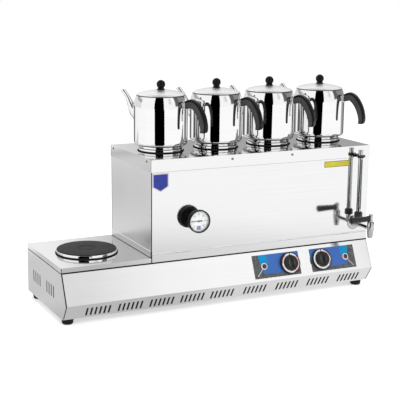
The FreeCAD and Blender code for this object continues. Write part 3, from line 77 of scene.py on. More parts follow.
class Shader:
    """Builds one node material, or the surround, step by step."""

    def __init__(self, name: str, surround: bool = False) -> None:
        """Start with a bare Principled shader, or with a bare background for the surround.

        Args:
            name: The name of the material or the world.
            surround: Whether this is the surround.
        """
        self.material = bpy.data.worlds.new(name) if surround else bpy.data.materials.new(name)
        self.material.use_nodes = True
        self.nodes = self.material.node_tree.nodes
        self.links = self.material.node_tree.links
        self.surface = self.nodes["Background" if surround else "Principled BSDF"]
        self.place = self.nodes.new("ShaderNodeTexCoord").outputs["Generated" if surround else "Object"]

    def set(self, **values: object) -> "Shader":
        """Set plain values on the Principled shader's own sockets.

        Args:
            values: The sockets' names, with _ for a space, and their values.

        Returns:
            The shader itself.
        """
        for key, value in values.items():
            self.surface.inputs[key.replace("_", " ")].default_value = value
        return self

    def feed(self, socket: str, source: Socket) -> None:
        """Link a source to one of the surface shader's sockets."""
        self.links.new(source, self.surface.inputs[socket])

    def stretched(self, scale: Sequence[float]) -> Socket:
        """Return the object coordinates stretched along each axis.

        Args:
            scale: The factor along each axis.

        Returns:
            The coordinates as a socket.
        """
        node = self.nodes.new("ShaderNodeMapping")
        node.inputs["Scale"].default_value = scale
        self.links.new(self.place, node.inputs["Vector"])
        return node.outputs[0]

    def measure(self, direction: Sequence[float], origin: Sequence[float], length: float = 1.0) -> Socket:
        """Return how far a point lies from an origin along a direction.

        Args:
            direction: The direction that is measured along; its own length scales the measure.
            origin: The place in metres where the measure is nought.
            length: The distance in metres that counts as one.

        Returns:
            The measure as a socket.
        """
        offset = self.nodes.new("ShaderNodeVectorMath")
        offset.operation = "SUBTRACT"
        offset.inputs[1].default_value = origin
        self.links.new(self.place, offset.inputs[0])
        along = self.nodes.new("ShaderNodeVectorMath")
        along.operation = "DOT_PRODUCT"
        along.inputs[1].default_value = Vector(direction) / length
        self.links.new(offset.outputs[0], along.inputs[0])
        return along.outputs["Value"]

    def noise(self, scale: float, detail: float = 3, vector: Socket | None = None) -> Socket:
        """Return a noise factor over the object or another vector.

        Args:
            scale: The noise's scale, per metre of the coordinates.
            detail: The octaves of finer noise.
            vector: The coordinates to read in place of the object's own.

        Returns:
            The factor as a socket.
        """
        node = self.nodes.new("ShaderNodeTexNoise")
        node.inputs["Scale"].default_value = scale
        node.inputs["Detail"].default_value = detail
        self.links.new(vector or self.place, node.inputs["Vector"])
        return node.outputs["Fac"]

    def ramp(self, factor: Socket, stops: Sequence[tuple[float, Color]]) -> Socket:
        """Return a colour ramp with the given stops over a factor.

        Args:
            factor: The socket that runs along the ramp.
            stops: The places and colours in order.

        Returns:
            The colour as a socket.
        """
        node = self.nodes.new("ShaderNodeValToRGB")
        elements = node.color_ramp.elements
        while len(elements) > 1:
            elements.remove(elements[-1])
        for number, (position, color) in enumerate(stops):
            element = elements[0] if number == 0 else elements.new(position)
            element.position = position
            element.color = (*color, 1)
        self.links.new(factor, node.inputs["Fac"])
        return node.outputs["Color"]

    def clean_mirror(self, path: bpy.types.Node) -> Socket:
        """Return one for a ray that a clean mirror sends or that comes late in its path, and nought for others.

        Args:
            path: The light path node; in the surround it counts a ray one bounce deeper than on the floor.

        Returns:
            The gate as a socket.
        """
        late = self.math("GREATER_THAN", path.outputs["Ray Depth"], 1.5)
        return self.math("MAXIMUM", path.outputs["Is Singular Ray"], late)

    def tones(self, factor: Socket, *stops: Point) -> Socket:
        """Return a grey ramp with the given stops over a factor."""
        return self.ramp(factor, [(position, (tone,) * 3) for position, tone in stops])

    def math(self, operation: str, first: Socket | float, second: Socket | float = 0.0) -> Socket:
        """Return the result of a math node on sockets or numbers.

        Args:
            operation: The node's operation.
            first: The first value.
            second: The second value.

        Returns:
            The result as a socket.
        """
        node = self.nodes.new("ShaderNodeMath")
        node.operation = operation
        for socket, value in zip(node.inputs, (first, second)):
            if isinstance(value, Socket):
                self.links.new(value, socket)
            else:
                socket.default_value = value
        return node.outputs[0]

    def times(self, first: Socket | float, second: Socket | float) -> Socket:
        """Return the product of two sockets or numbers."""
        return self.math("MULTIPLY", first, second)

    def radius(self, across: Socket, along: Socket) -> Socket:
        """Return the distance that two measures at right angles make."""
        return self.math("SQRT", self.math("ADD", self.times(across, across), self.times(along, along)))

    def share(self, turn: Socket) -> Socket:
        """Return a value between minus one and one as a share between nought and one."""
        return self.times(self.math("ADD", turn, 1.0), 0.5)

    def between(self, value: Socket, low: float, high: float) -> Socket:
        """Return one where a value lies between two limits, and nought elsewhere."""
        return self.times(self.math("GREATER_THAN", value, low), self.math("LESS_THAN", value, high))

    def mix(self, factor: Socket, first: Socket | Color, second: Socket | Color) -> Socket:
        """Return two colours mixed by a factor: nought gives the first and one the second.

        Args:
            factor: The share of the second colour.
            first: The first colour.
            second: The second colour.

        Returns:
            The mixed colour as a socket.
        """
        node = self.nodes.new("ShaderNodeMix")
        node.data_type = "RGBA"
        self.links.new(factor, node.inputs["Factor"])
        for socket, value in ((node.inputs[6], first), (node.inputs[7], second)):
            if isinstance(value, Socket):
                self.links.new(value, socket)
            else:
                socket.default_value = (*value, 1)
        return node.outputs[2]

    def bump(self, height: Socket, strength: float, distance: float) -> None:
        """Dent the surface by a height.

        Args:
            height: The height as a socket.
            strength: The share of the dents that shows.
            distance: The depth in metres for a height of one.
        """
        node = self.nodes.new("ShaderNodeBump")
        node.inputs["Strength"].default_value = strength
        node.inputs["Distance"].default_value = distance
        self.links.new(height, node.inputs["Height"])
        self.feed("Normal", node.outputs[0])


def shaded(color: Color, share: float) -> Color:
    """Return a colour made darker or lighter by a share."""
    return tuple(min(1.0, share * part) for part in color)


@dataclass(frozen=True)
class Steel:
    """Stainless steel with rolling grain and hand smudges."""

    name: str
    color: Color = (0.86, 0.86, 0.865)
    roughness: float = 0.07
    smudge: float = 0.04
    grain: tuple[float, float, float] = (4, 4, 900)
    grain_depth: float = 0.02

    def material(self) -> bpy.types.Material:
        """Return the steel as a material.

        Returns:
            The material, its grain and smudges in nodes.
        """
        shader = Shader(self.name).set(Metallic=1.0)
        shader.feed("Roughness", shader.tones(shader.noise(6, 4), (0.35, self.roughness),
                                              (0.7, self.roughness + self.smudge)))
        tone = shader.noise(1.0, 2, shader.stretched(self.grain))
        shader.feed("Base Color", shader.ramp(tone, [(0.3, shaded(self.color, 0.965)), (0.7, self.color)]))
        if self.grain_depth:
            shader.bump(tone, self.grain_depth, 0.02 * MM)
        return shader.material


@dataclass(frozen=True)
class Chrome:
    """Bright plating with faint wear in its gloss."""

    name: str
    color: Color
    roughness: float

    def material(self) -> bpy.types.Material:
        """Return the plating as a material.

        Returns:
            The material, its wear in nodes.
        """
        shader = Shader(self.name).set(Metallic=1.0)
        cloud = shader.noise(40)
        shader.feed("Base Color", shader.ramp(cloud, [(0.3, shaded(self.color, 0.96)), (0.7, self.color)]))
        shader.feed("Roughness", shader.tones(cloud, (0.4, self.roughness), (0.75, self.roughness * 2.5)))
        return shader.material


@dataclass(frozen=True)
class CastIron:
    """Heating disc: black-coated iron with faint turning rings."""

    name: str
    centre: Vector
    color: Color = (0.0125, 0.0125, 0.013)
    ring_pitch: float = 1.6 * MM

    def material(self) -> bpy.types.Material:
        """Return the iron as a material.

        Returns:
            The material, its turning rings and grit in nodes.
        """
        shader = Shader(self.name).set(Specular_IOR_Level=0.16)
        across = shader.measure((1, 0, 0), self.centre)
        along = shader.measure((0, 1, 0), self.centre)
        rings = shader.math("SINE", shader.times(shader.radius(across, along), 2 * math.pi / self.ring_pitch))
        grit = shader.noise(900)
        shader.feed("Base Color", shader.ramp(shader.noise(22), [(0.3, shaded(self.color, 0.8)),
                                                                (0.75, shaded(self.color, 1.5))]))
        shader.feed("Roughness", shader.tones(grit, (0.3, 0.45), (0.7, 0.62)))
        shader.bump(shader.math("ADD", shader.times(rings, 0.3), grit), 0.25, 0.08 * MM)
        return shader.material


@dataclass(frozen=True)
class Moulded:
    """Plain moulded or painted finish with a fine skin texture."""

    name: str
    color: Color
    roughness: float = 0.3
    gloss: float = 0.22
    skin: float = 0.05
    skin_scale: float = 1200
    spread: float = 1.25

    def material(self) -> bpy.types.Material:
        """Return the finish as a material.

        Returns:
            The material, its skin in nodes.
        """
        shader = Shader(self.name).set(Specular_IOR_Level=self.gloss)
        fine = shader.noise(self.skin_scale, 2)
        shader.feed("Base Color", shader.ramp(shader.noise(35), [(0.35, self.color),
                                                                (0.75, shaded(self.color, self.spread))]))
        shader.feed("Roughness", shader.tones(fine, (0.35, self.roughness * 0.85), (0.7, self.roughness * 1.2)))
        if self.skin:
            shader.bump(fine, self.skin, 0.05 * MM)
        return shader.material


@dataclass(frozen=True)
class Lens:
    """Translucent red lamp lens, ribbed inside and unlit."""

    name: str
    color: Color = (0.17, 0.03, 0.028)

    def material(self) -> bpy.types.Material:
        """Return the lens as a material.

        Returns:
            The material, its cells in nodes.
        """
        shader = Shader(self.name).set(Roughness=0.15, Specular_IOR_Level=0.4)
        cell = shader.noise(700, 1)
        shader.feed("Base Color", shader.ramp(cell, [(0.4, self.color), (0.65, shaded(self.color, 0.45))]))
        shader.bump(cell, 0.15, 0.2 * MM)
        return shader.material


@dataclass(frozen=True)
class Clear:
    """Thin clear glass, or still water behind it."""

    name: str
    color: Color = (0.92, 0.95, 0.95)
    cover: float = 0.10

    def material(self) -> bpy.types.Material:
        """Return the glass or the water as a material.

        Returns:
            The material, its haze in nodes.
        """
        shader = Shader(self.name).set(Base_Color=(*self.color, 1), Alpha=self.cover, IOR=1.45)
        shader.feed("Roughness", shader.tones(shader.noise(60, 2), (0.4, 0.01), (0.8, 0.04)))
        return shader.material


@dataclass(frozen=True)
class PlatePrint:
    """Printed face plate: a blue field, a lighter corner patch and mottled dark borders."""

    name: str
    corner: Vector
    width: float
    height: float
    mirrored: bool
    blue: Color = (0.045, 0.135, 0.42)
    deep: Color = (0.040, 0.115, 0.37)
    sky: Color = (0.002, 0.23, 0.48)
    dark: Color = (0.030, 0.034, 0.036)
    pale: Color = (0.17, 0.17, 0.175)

    def material(self) -> bpy.types.Material:
        """Return the print as a material.

        Returns:
            The material, its fields and borders in nodes.
        """
        shader = Shader(self.name).set(Specular_IOR_Level=0.2, Roughness=0.35)
        across = shader.measure((1, 0, 0), self.corner, self.width)
        up = shader.measure(FACE_UP, self.corner, self.height)
        if self.mirrored:
            across = shader.math("SUBTRACT", 1.0, across)
        mottle = shader.noise(420, 4)
        border = shader.ramp(mottle, [(0.42, self.dark), (0.62, self.pale)])
        slant = shader.times(shader.math("SUBTRACT", 1.0, up), 0.08)
        outer = shader.math("LESS_THAN", across, shader.math("ADD", slant, 0.125))
        lower = shader.math("LESS_THAN", up, shader.math("SUBTRACT", 0.19, shader.times(across, 0.06)))
        inner = shader.times(shader.math("GREATER_THAN", across, 0.86), shader.math("LESS_THAN", up, 0.5))
        dim = shader.math("MAXIMUM", outer, shader.math("MAXIMUM", lower, inner))
        patch = shader.times(shader.math("LESS_THAN", across, 0.31), shader.math("GREATER_THAN", up, 0.6))
        ground = shader.mix(patch, shader.mix(up, self.deep, self.blue), self.sky)
        shader.feed("Base Color", shader.mix(dim, ground, border))
        shader.bump(mottle, 0.03, 0.05 * MM)
        return shader.material


@dataclass(frozen=True)
class ScalePrint:
    """White scale ring on black, with ticks, a notch at the top and red arcs, printed round a knob."""

    name: str
    centre: Vector
    arcs: tuple[tuple[float, float], ...]
    rim: float = 30.9 * MM
    tick_reach: float = 3.9 * MM
    red_reach: float = 2.1 * MM
    ticks: int = 24
    white: Color = (0.80, 0.80, 0.78)
    red: Color = (0.56, 0.10, 0.10)
    ink: Color = (0.02, 0.02, 0.022)

    def material(self) -> bpy.types.Material:
        """Return the ring's print as a material.

        Returns:
            The material, its ticks and arcs in nodes.
        """
        shader = Shader(self.name).set(Specular_IOR_Level=0.25)
        across = shader.measure((1, 0, 0), self.centre)
        up = shader.measure(FACE_UP, self.centre)
        angle = shader.math("ARCTAN2", up, across)
        radius = shader.radius(across, up)
        beat = shader.math("FRACT", shader.math("ADD", shader.times(angle, self.ticks / (2 * math.pi)), 0.06))
        tick = shader.times(shader.math("LESS_THAN", beat, 0.12),
                            shader.math("LESS_THAN", radius, self.rim - self.tick_reach))
        notch = shader.between(angle, math.radians(87), math.radians(93))
        inked = shader.math("MAXIMUM", shader.math("MAXIMUM", tick, notch),
                            shader.math("GREATER_THAN", radius, self.rim))
        red = shader.math("GREATER_THAN", radius, self.rim - self.red_reach)
        spans = [shader.between(angle, math.radians(start), math.radians(end)) for start, end in self.arcs]
        red = shader.times(red, shader.math("MAXIMUM", spans[0], spans[-1]))
        speck = shader.noise(500, 2)
        paper = shader.ramp(speck, [(0.3, shaded(self.white, 0.94)), (0.7, self.white)])
        shader.feed("Base Color", shader.mix(inked, shader.mix(red, paper, self.red), self.ink))
        shader.feed("Roughness", shader.tones(speck, (0.3, 0.3), (0.7, 0.4)))
        return shader.material


def arc(centre: Point, radius: float, start: float, end: float, steps: int = 8) -> list[Point]:
    """Return points along an arc.

    Args:
        centre: The arc's centre in the outline's plane.
        radius: The arc's radius.
        start: The first angle in degrees, from the first axis.
        end: The last angle in degrees.
        steps: The number of chords.

    Returns:
        The points, both ends included.
    """
    angles = [math.radians(start + (end - start) * step / steps) for step in range(steps + 1)]
    return [(centre[0] + radius * math.cos(angle), centre[1] + radius * math.sin(angle)) for angle in angles]


def rounded(corners: Sequence[Corner], closed: bool = True, steps: int = 4) -> list[Point]:
    """Return an outline whose corners are rounded, each by its own radius.

    Args:
        corners: The corners with their radii.
        closed: Whether the outline joins its own start.
        steps: The number of chords in each rounded corner.

    Returns:
        The outline's points.
    """
    points: list[Point] = []
    for number, (x, y, radius) in enumerate(corners):
        if not radius or (not closed and number in (0, len(corners) - 1)):
            points.append((x, y))
            continue
        here = Vector((x, y))
        before = Vector(corners[number - 1][:2]) - here
        after = Vector(corners[(number + 1) % len(corners)][:2]) - here
        half = before.angle(after) / 2
        reach = min(radius / math.tan(half), before.length * 0.98, after.length * 0.98)
        centre = here + (before.normalized() + after.normalized()).normalized() * (reach / math.cos(half))
        spoke = here + before.normalized() * reach - centre
        sweep = spoke.angle_signed(here + after.normalized() * reach - centre)
        for step in range(steps + 1):
            turn = Matrix.Rotation(-sweep * step / steps, 2)
            points.append(tuple(centre + turn @ spoke))
    return points


def eased(stations: Sequence[Sequence[float]], steps: int) -> list[tuple[float, ...]]:
    """Return the stations with smooth ones set between them.

    Args:
        stations: Rows of numbers that change together.
        steps: The number of steps from one row to the next.

    Returns:
        The rows, in order.
    """
    last = len(stations) - 1
    rows: list[tuple[float, ...]] = []
    for number in range(last):
        near = [stations[max(0, min(last, number + shift))] for shift in (-1, 0, 1, 2)]
        for step in range(steps):
            t = step / steps
            rows.append(tuple(
                0.5 * (2 * b + (c - a) * t + (2 * a - 5 * b + 4 * c - d) * t * t + (3 * b - a - 3 * c + d) * t ** 3)
                for a, b, c, d in zip(*near)))
    rows.append(tuple(stations[-1]))
    return rows


def upright(x: float, y: float, z: float, turn: float = 0.0) -> Matrix:
    """Return a place whose own axis points up, turned about it by degrees."""
    return Matrix.Translation((x, y, z)) @ Matrix.Rotation(math.radians(turn), 4, "Z")


def forward(x: float, y: float, z: float) -> Matrix:
    """Return a place whose own axis points to the front and whose own Y points up."""
    return Matrix.Translation((x, y, z)) @ Matrix.Rotation(math.radians(90), 4, "X")


def backward(x: float, y: float, z: float) -> Matrix:
    """Return a place whose own axis points to the back."""
    return Matrix.Translation((x, y, z)) @ Matrix.Rotation(math.radians(-90), 4, "X")


def leftward(x: float, y: float, z: float) -> Matrix:
    """Return a place whose own axis points to the left."""
    return Matrix.Translation((x, y, z)) @ Matrix.Rotation(math.radians(-90), 4, "Y")


def on_face(x: float, drop: float, out: float = 0.0) -> Matrix:
    """Return a place on the sloped control face, its own axis square to the face.

    Args:
        x: The place along the machine.
        drop: The distance down the face from its upper edge.
        out: The distance in front of the face.

    Returns:
        The place, its own Y axis running up the face.
    """
    spot = Vector((x, 0, 0)) + FACE_EDGE - FACE_UP * drop + FACE_OUT * out
    axes = Matrix((Vector((1, 0, 0)), FACE_UP, FACE_OUT)).transposed().to_4x4()
    return Matrix.Translation(spot) @ axes


class Piece:
    """One finished mesh object in the making, drawn in millimetres."""

    def __init__(self, name: str) -> None:
        """Start an empty mesh."""
        self.name = name
        self.mesh = bmesh.new()

    def _fresh(self, known: set[bmesh.types.BMVert]) -> list[bmesh.types.BMVert]:
        """Return the vertices that were made since a set was taken."""
        return [vert for vert in self.mesh.verts if vert not in known]

    def turned(self, outline: Sequence[Point], place: Matrix, steps: int) -> "Piece":
        """Turn an outline of (radius, height) points about the place's own axis.

        Args:
            outline: The points in order; it closes itself unless both ends lie on the axis.
            place: Where the turned form goes.
            steps: The number of faces round the axis.

        Returns:
            The piece itself.
        """
        known = set(self.mesh.verts)
        verts = [self.mesh.verts.new((radius, 0, height)) for radius, height in outline]
        pairs = list(zip(verts, verts[1:]))
        if outline[0][0] > 0 or outline[-1][0] > 0:
            pairs.append((verts[-1], verts[0]))
        edges = [self.mesh.edges.new(pair) for pair in pairs]
        bmesh.ops.spin(self.mesh, geom=verts + edges, cent=(0, 0, 0), axis=(0, 0, 1), angle=2 * math.pi,
                       steps=steps, use_merge=True)
        bmesh.ops.remove_doubles(self.mesh, verts=self._fresh(known), dist=0.002)
        bmesh.ops.transform(self.mesh, matrix=place, verts=self._fresh(known))
        return self

    def swept_ring(self, outline: Sequence[Point], place: Matrix, gap: float, steps: int = 48) -> "Piece":
        """Turn a closed outline most of the way round, leaving a gap towards the front.

        Args:
            outline: The closed outline of (radius, height) points.
            place: Where the ring goes.
            gap: The gap's angle in degrees.
            steps: The number of faces round the axis.

        Returns:
            The piece itself.
        """
        known = set(self.mesh.verts)
        verts = [self.mesh.verts.new((radius, 0, height)) for radius, height in outline]
        start = self.mesh.faces.new(verts)
        bmesh.ops.spin(self.mesh, geom=[start], cent=(0, 0, 0), axis=(0, 0, 1), angle=math.radians(360 - gap),
                       steps=steps)
        turn = place @ Matrix.Rotation(math.radians(-90 + gap / 2), 4, "Z")
        bmesh.ops.transform(self.mesh, matrix=turn, verts=self._fresh(known))
        return self

    def lofted(self, rings: Sequence[Sequence[Vector]], caps: bool = True) -> "Piece":
        """Join closed rings of points into a tube, with its ends closed if caps is set.

        Args:
            rings: The rings in order, each with as many points.
            caps: Whether the ends are closed.

        Returns:
            The piece itself.
        """
        ends: list[list[bmesh.types.BMVert]] = []
        before: list[bmesh.types.BMEdge] = []
        for points in rings:
            verts = [self.mesh.verts.new(point) for point in points]
            edges = [self.mesh.edges.new(pair) for pair in zip(verts, verts[1:] + verts[:1])]
            if before:
                bmesh.ops.bridge_loops(self.mesh, edges=before + edges)
            before = edges
            ends.append(verts)
        if caps:
            for verts in (ends[0], ends[-1]):
                self.mesh.faces.new(verts)
        return self

    def prism(self, outline: Sequence[Point], low: float, high: float, place: Matrix, bevel: float = 0.0) -> "Piece":
        """Raise a flat outline into a solid with rounded rims.

        Args:
            outline: The outline in the place's own plane.
            low: The height of the lower face.
            high: The height of the upper face.
            place: Where the solid goes.
            bevel: The rounding of its edges.

        Returns:
            The piece itself.
        """
        known = set(self.mesh.verts)
        face = self.mesh.faces.new([self.mesh.verts.new((x, y, low)) for x, y in outline])
        made = bmesh.ops.extrude_face_region(self.mesh, geom=[face])
        moved = [item for item in made["geom"] if isinstance(item, bmesh.types.BMVert)]
        bmesh.ops.translate(self.mesh, vec=(0, 0, high - low), verts=moved)
        if bevel:
            edges = [edge for edge in {edge for vert in self._fresh(known) for edge in vert.link_edges}
                     if len(edge.link_faces) == 2 and edge.calc_face_angle() > 0.7]
            bmesh.ops.bevel(self.mesh, geom=edges, offset=bevel, segments=2, affect="EDGES", profile=0.5, material=-1)
        bmesh.ops.transform(self.mesh, matrix=place, verts=self._fresh(known))
        return self

    def block(self, low: Sequence[float], high: Sequence[float], place: Matrix = Matrix(),
              bevel: float = 0.0) -> "Piece":
        """Add a block between two corners with rounded edges."""
        outline = [(low[0], low[1]), (high[0], low[1]), (high[0], high[1]), (low[0], high[1])]
        return self.prism(outline, low[2], high[2], place, bevel)

    def words(self, text: str, size: float, place: Matrix, depth: float = 0.05) -> "Piece":
        """Set plain numerals centred on a place.

        Args:
            text: The numerals.
            size: Their height of type.
            place: Where their middle goes.
            depth: How thick they stand.

        Returns:
            The piece itself.
        """
        curve = bpy.data.curves.new(self.name, "FONT")
        curve.body = text
        curve.size = size
        curve.align_x = "CENTER"
        curve.align_y = "CENTER"
        curve.extrude = depth / 2
        item = bpy.data.objects.new(self.name, curve)
        flat = bpy.data.meshes.new_from_object(item)
        flat.transform(place)
        self.mesh.from_mesh(flat)
        bpy.data.objects.remove(item)
        bpy.data.curves.remove(curve)
        bpy.data.meshes.remove(flat)
        return self

    def finish(self, material: bpy.types.Material, body: Body | str, slot: str, replaces: Sequence[str] = (),
               sharp: float = 32.0) -> bpy.types.Object:
        """Make the object, shade it, dress it and tie it to its body.

        Args:
            material: The piece's finish.
            body: The CAD body that it rides on, or its name.
            slot: The record's material slot; not used.
            replaces: The CAD nodes that it stands for.
            sharp: The angle in degrees from which an edge stays crisp.

        Returns:
            The finished object.
        """
        bmesh.ops.scale(self.mesh, vec=(MM,) * 3, verts=self.mesh.verts[:])
        bmesh.ops.recalc_face_normals(self.mesh, faces=self.mesh.faces[:])
        for face in self.mesh.faces:
            face.smooth = True
        for edge in self.mesh.edges:
            edge.smooth = len(edge.link_faces) == 2 and edge.calc_face_angle(math.pi) < math.radians(sharp)
        data = bpy.data.meshes.new(self.name)
        self.mesh.to_mesh(data)
        self.mesh.free()
        data.materials.append(material)
        item = bpy.data.objects.new(self.name, data)
        bpy.context.collection.objects.link(item)
        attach(item, body.value if isinstance(body, Body) else body)
        if replaces:
            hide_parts(*replaces)
        log.info("built %s", self.name)
        return item


class Finishes:
    """Keeps the shared finishes by name and puts them on CAD nodes."""

    def __init__(self) -> None:
        """Make every finish that more than one piece may wear."""
        rack = (
            Steel("mirror_panel"), Steel("brushed_side", roughness=0.30, smudge=0.06, grain_depth=0.08),
            Steel("face_steel", color=(0.91, 0.91, 0.915), roughness=0.12, smudge=0.05, grain_depth=0.04),
            Steel("cover_steel", roughness=0.04, smudge=0.04, grain_depth=0.01),
            Steel("deck_steel", roughness=0.08, smudge=0.05, grain=(4, 900, 900)),
            Steel("pot_steel", color=(0.90, 0.90, 0.905), roughness=0.0, smudge=0.003, grain=(3, 3, 250),
                  grain_depth=0.0),
            Steel("lid_steel", color=(0.94, 0.94, 0.945), roughness=0.40, smudge=0.05, grain=(120, 120, 120)),
            Steel("satin_steel", color=(0.88, 0.88, 0.885), roughness=0.38, grain=(120, 120, 120)),
            # Painted shade: a dark steel for the pots' mouth rings and base bands.
            Steel("painted_shade_steel", color=(0.11, 0.11, 0.115), roughness=0.25, grain=(60, 60, 60)),
            Steel("plain_steel", color=(0.55, 0.55, 0.56), roughness=0.32),
            Chrome("tap_plating", color=(0.56, 0.56, 0.565), roughness=0.001),
            Chrome("screw_plating", color=(0.30, 0.30, 0.31), roughness=0.2),
            Moulded("phenolic", (0.012, 0.012, 0.013), 0.22, gloss=0.35),
            Moulded("grip_phenolic", (0.036, 0.036, 0.038), 0.40, gloss=0.25, skin=0.12, spread=1.5),
            # Painted shade: a darker black for the top parts of the handles.
            Moulded("painted_shade_spine", (0.006, 0.006, 0.007), 0.25, gloss=0.15),
            Moulded("ball_phenolic", (0.004, 0.004, 0.005), 0.10, gloss=0.16, skin=0.0),
            Moulded("enamel", (0.010, 0.010, 0.010), 0.42), Moulded("rubber", (0.008, 0.008, 0.008), 0.6, skin=0.2),
            # Painted light: the next five finishes are black, grey and pale strips of painted shade, and the knobs'
            # grey crescents of painted highlight.
            Moulded("painted_shade_black", (0.010, 0.010, 0.011), 0.6, gloss=0.1),
            Moulded("painted_shade_grey", (0.30, 0.30, 0.30), 0.6, gloss=0.1),
            Moulded("painted_pale_shade", (0.76, 0.76, 0.76), 0.6, gloss=0.1, spread=1.05),
            Moulded("vent_painted_shade", (0.035, 0.035, 0.035), 0.6, gloss=0.1),
            Moulded("knob_painted_sheen", (0.16, 0.16, 0.165), 0.4, spread=1.4),
            Moulded("ring_white", (0.68, 0.67, 0.66), 0.3, spread=1.05, skin=0.0),
            Moulded("white_enamel", (0.80, 0.81, 0.80), 0.35, spread=1.05, skin=0.0),
            Moulded("black_print", (0.02, 0.02, 0.022), 0.4, skin=0.0),
            Moulded("white_print", (0.75, 0.75, 0.75), 0.4, skin=0.0, spread=1.05),
            Moulded("lilac_print", (0.50, 0.46, 0.53), 0.4, skin=0.0, spread=1.05),
            Moulded("blue_print", (0.022, 0.035, 0.22), 0.3, skin=0.0),
            Moulded("bar_print", (0.10, 0.10, 0.33), 0.4, skin=0.0),
            Moulded("yellow_print", (0.48, 0.42, 0.035), 0.35, skin=0.0, spread=1.15),
            Moulded("olive_print", (0.10, 0.09, 0.015), 0.4, skin=0.0),
            Moulded("brass_tone", (0.50, 0.36, 0.14), 0.3), Lens("red_lens"), Clear("clear_glass"),
            Clear("water", color=(0.55, 0.68, 0.70), cover=0.35))
        self.rack = {finish.name: finish.material() for finish in rack}

    def __getitem__(self, name: str) -> bpy.types.Material:
        """Return a finish by its name."""
        return self.rack[name]

    def dress(self, finish: str | bpy.types.Material, *nodes: str) -> None:
        """Put a finish on CAD nodes in place of their own.

        Args:
            finish: The finish, or its name in the rack.
            nodes: The nodes' names.
        """
        material = self.rack[finish] if isinstance(finish, str) else finish
        for node in nodes:
            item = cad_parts[node]
            item.data.materials.clear()
            item.data.materials.append(material)


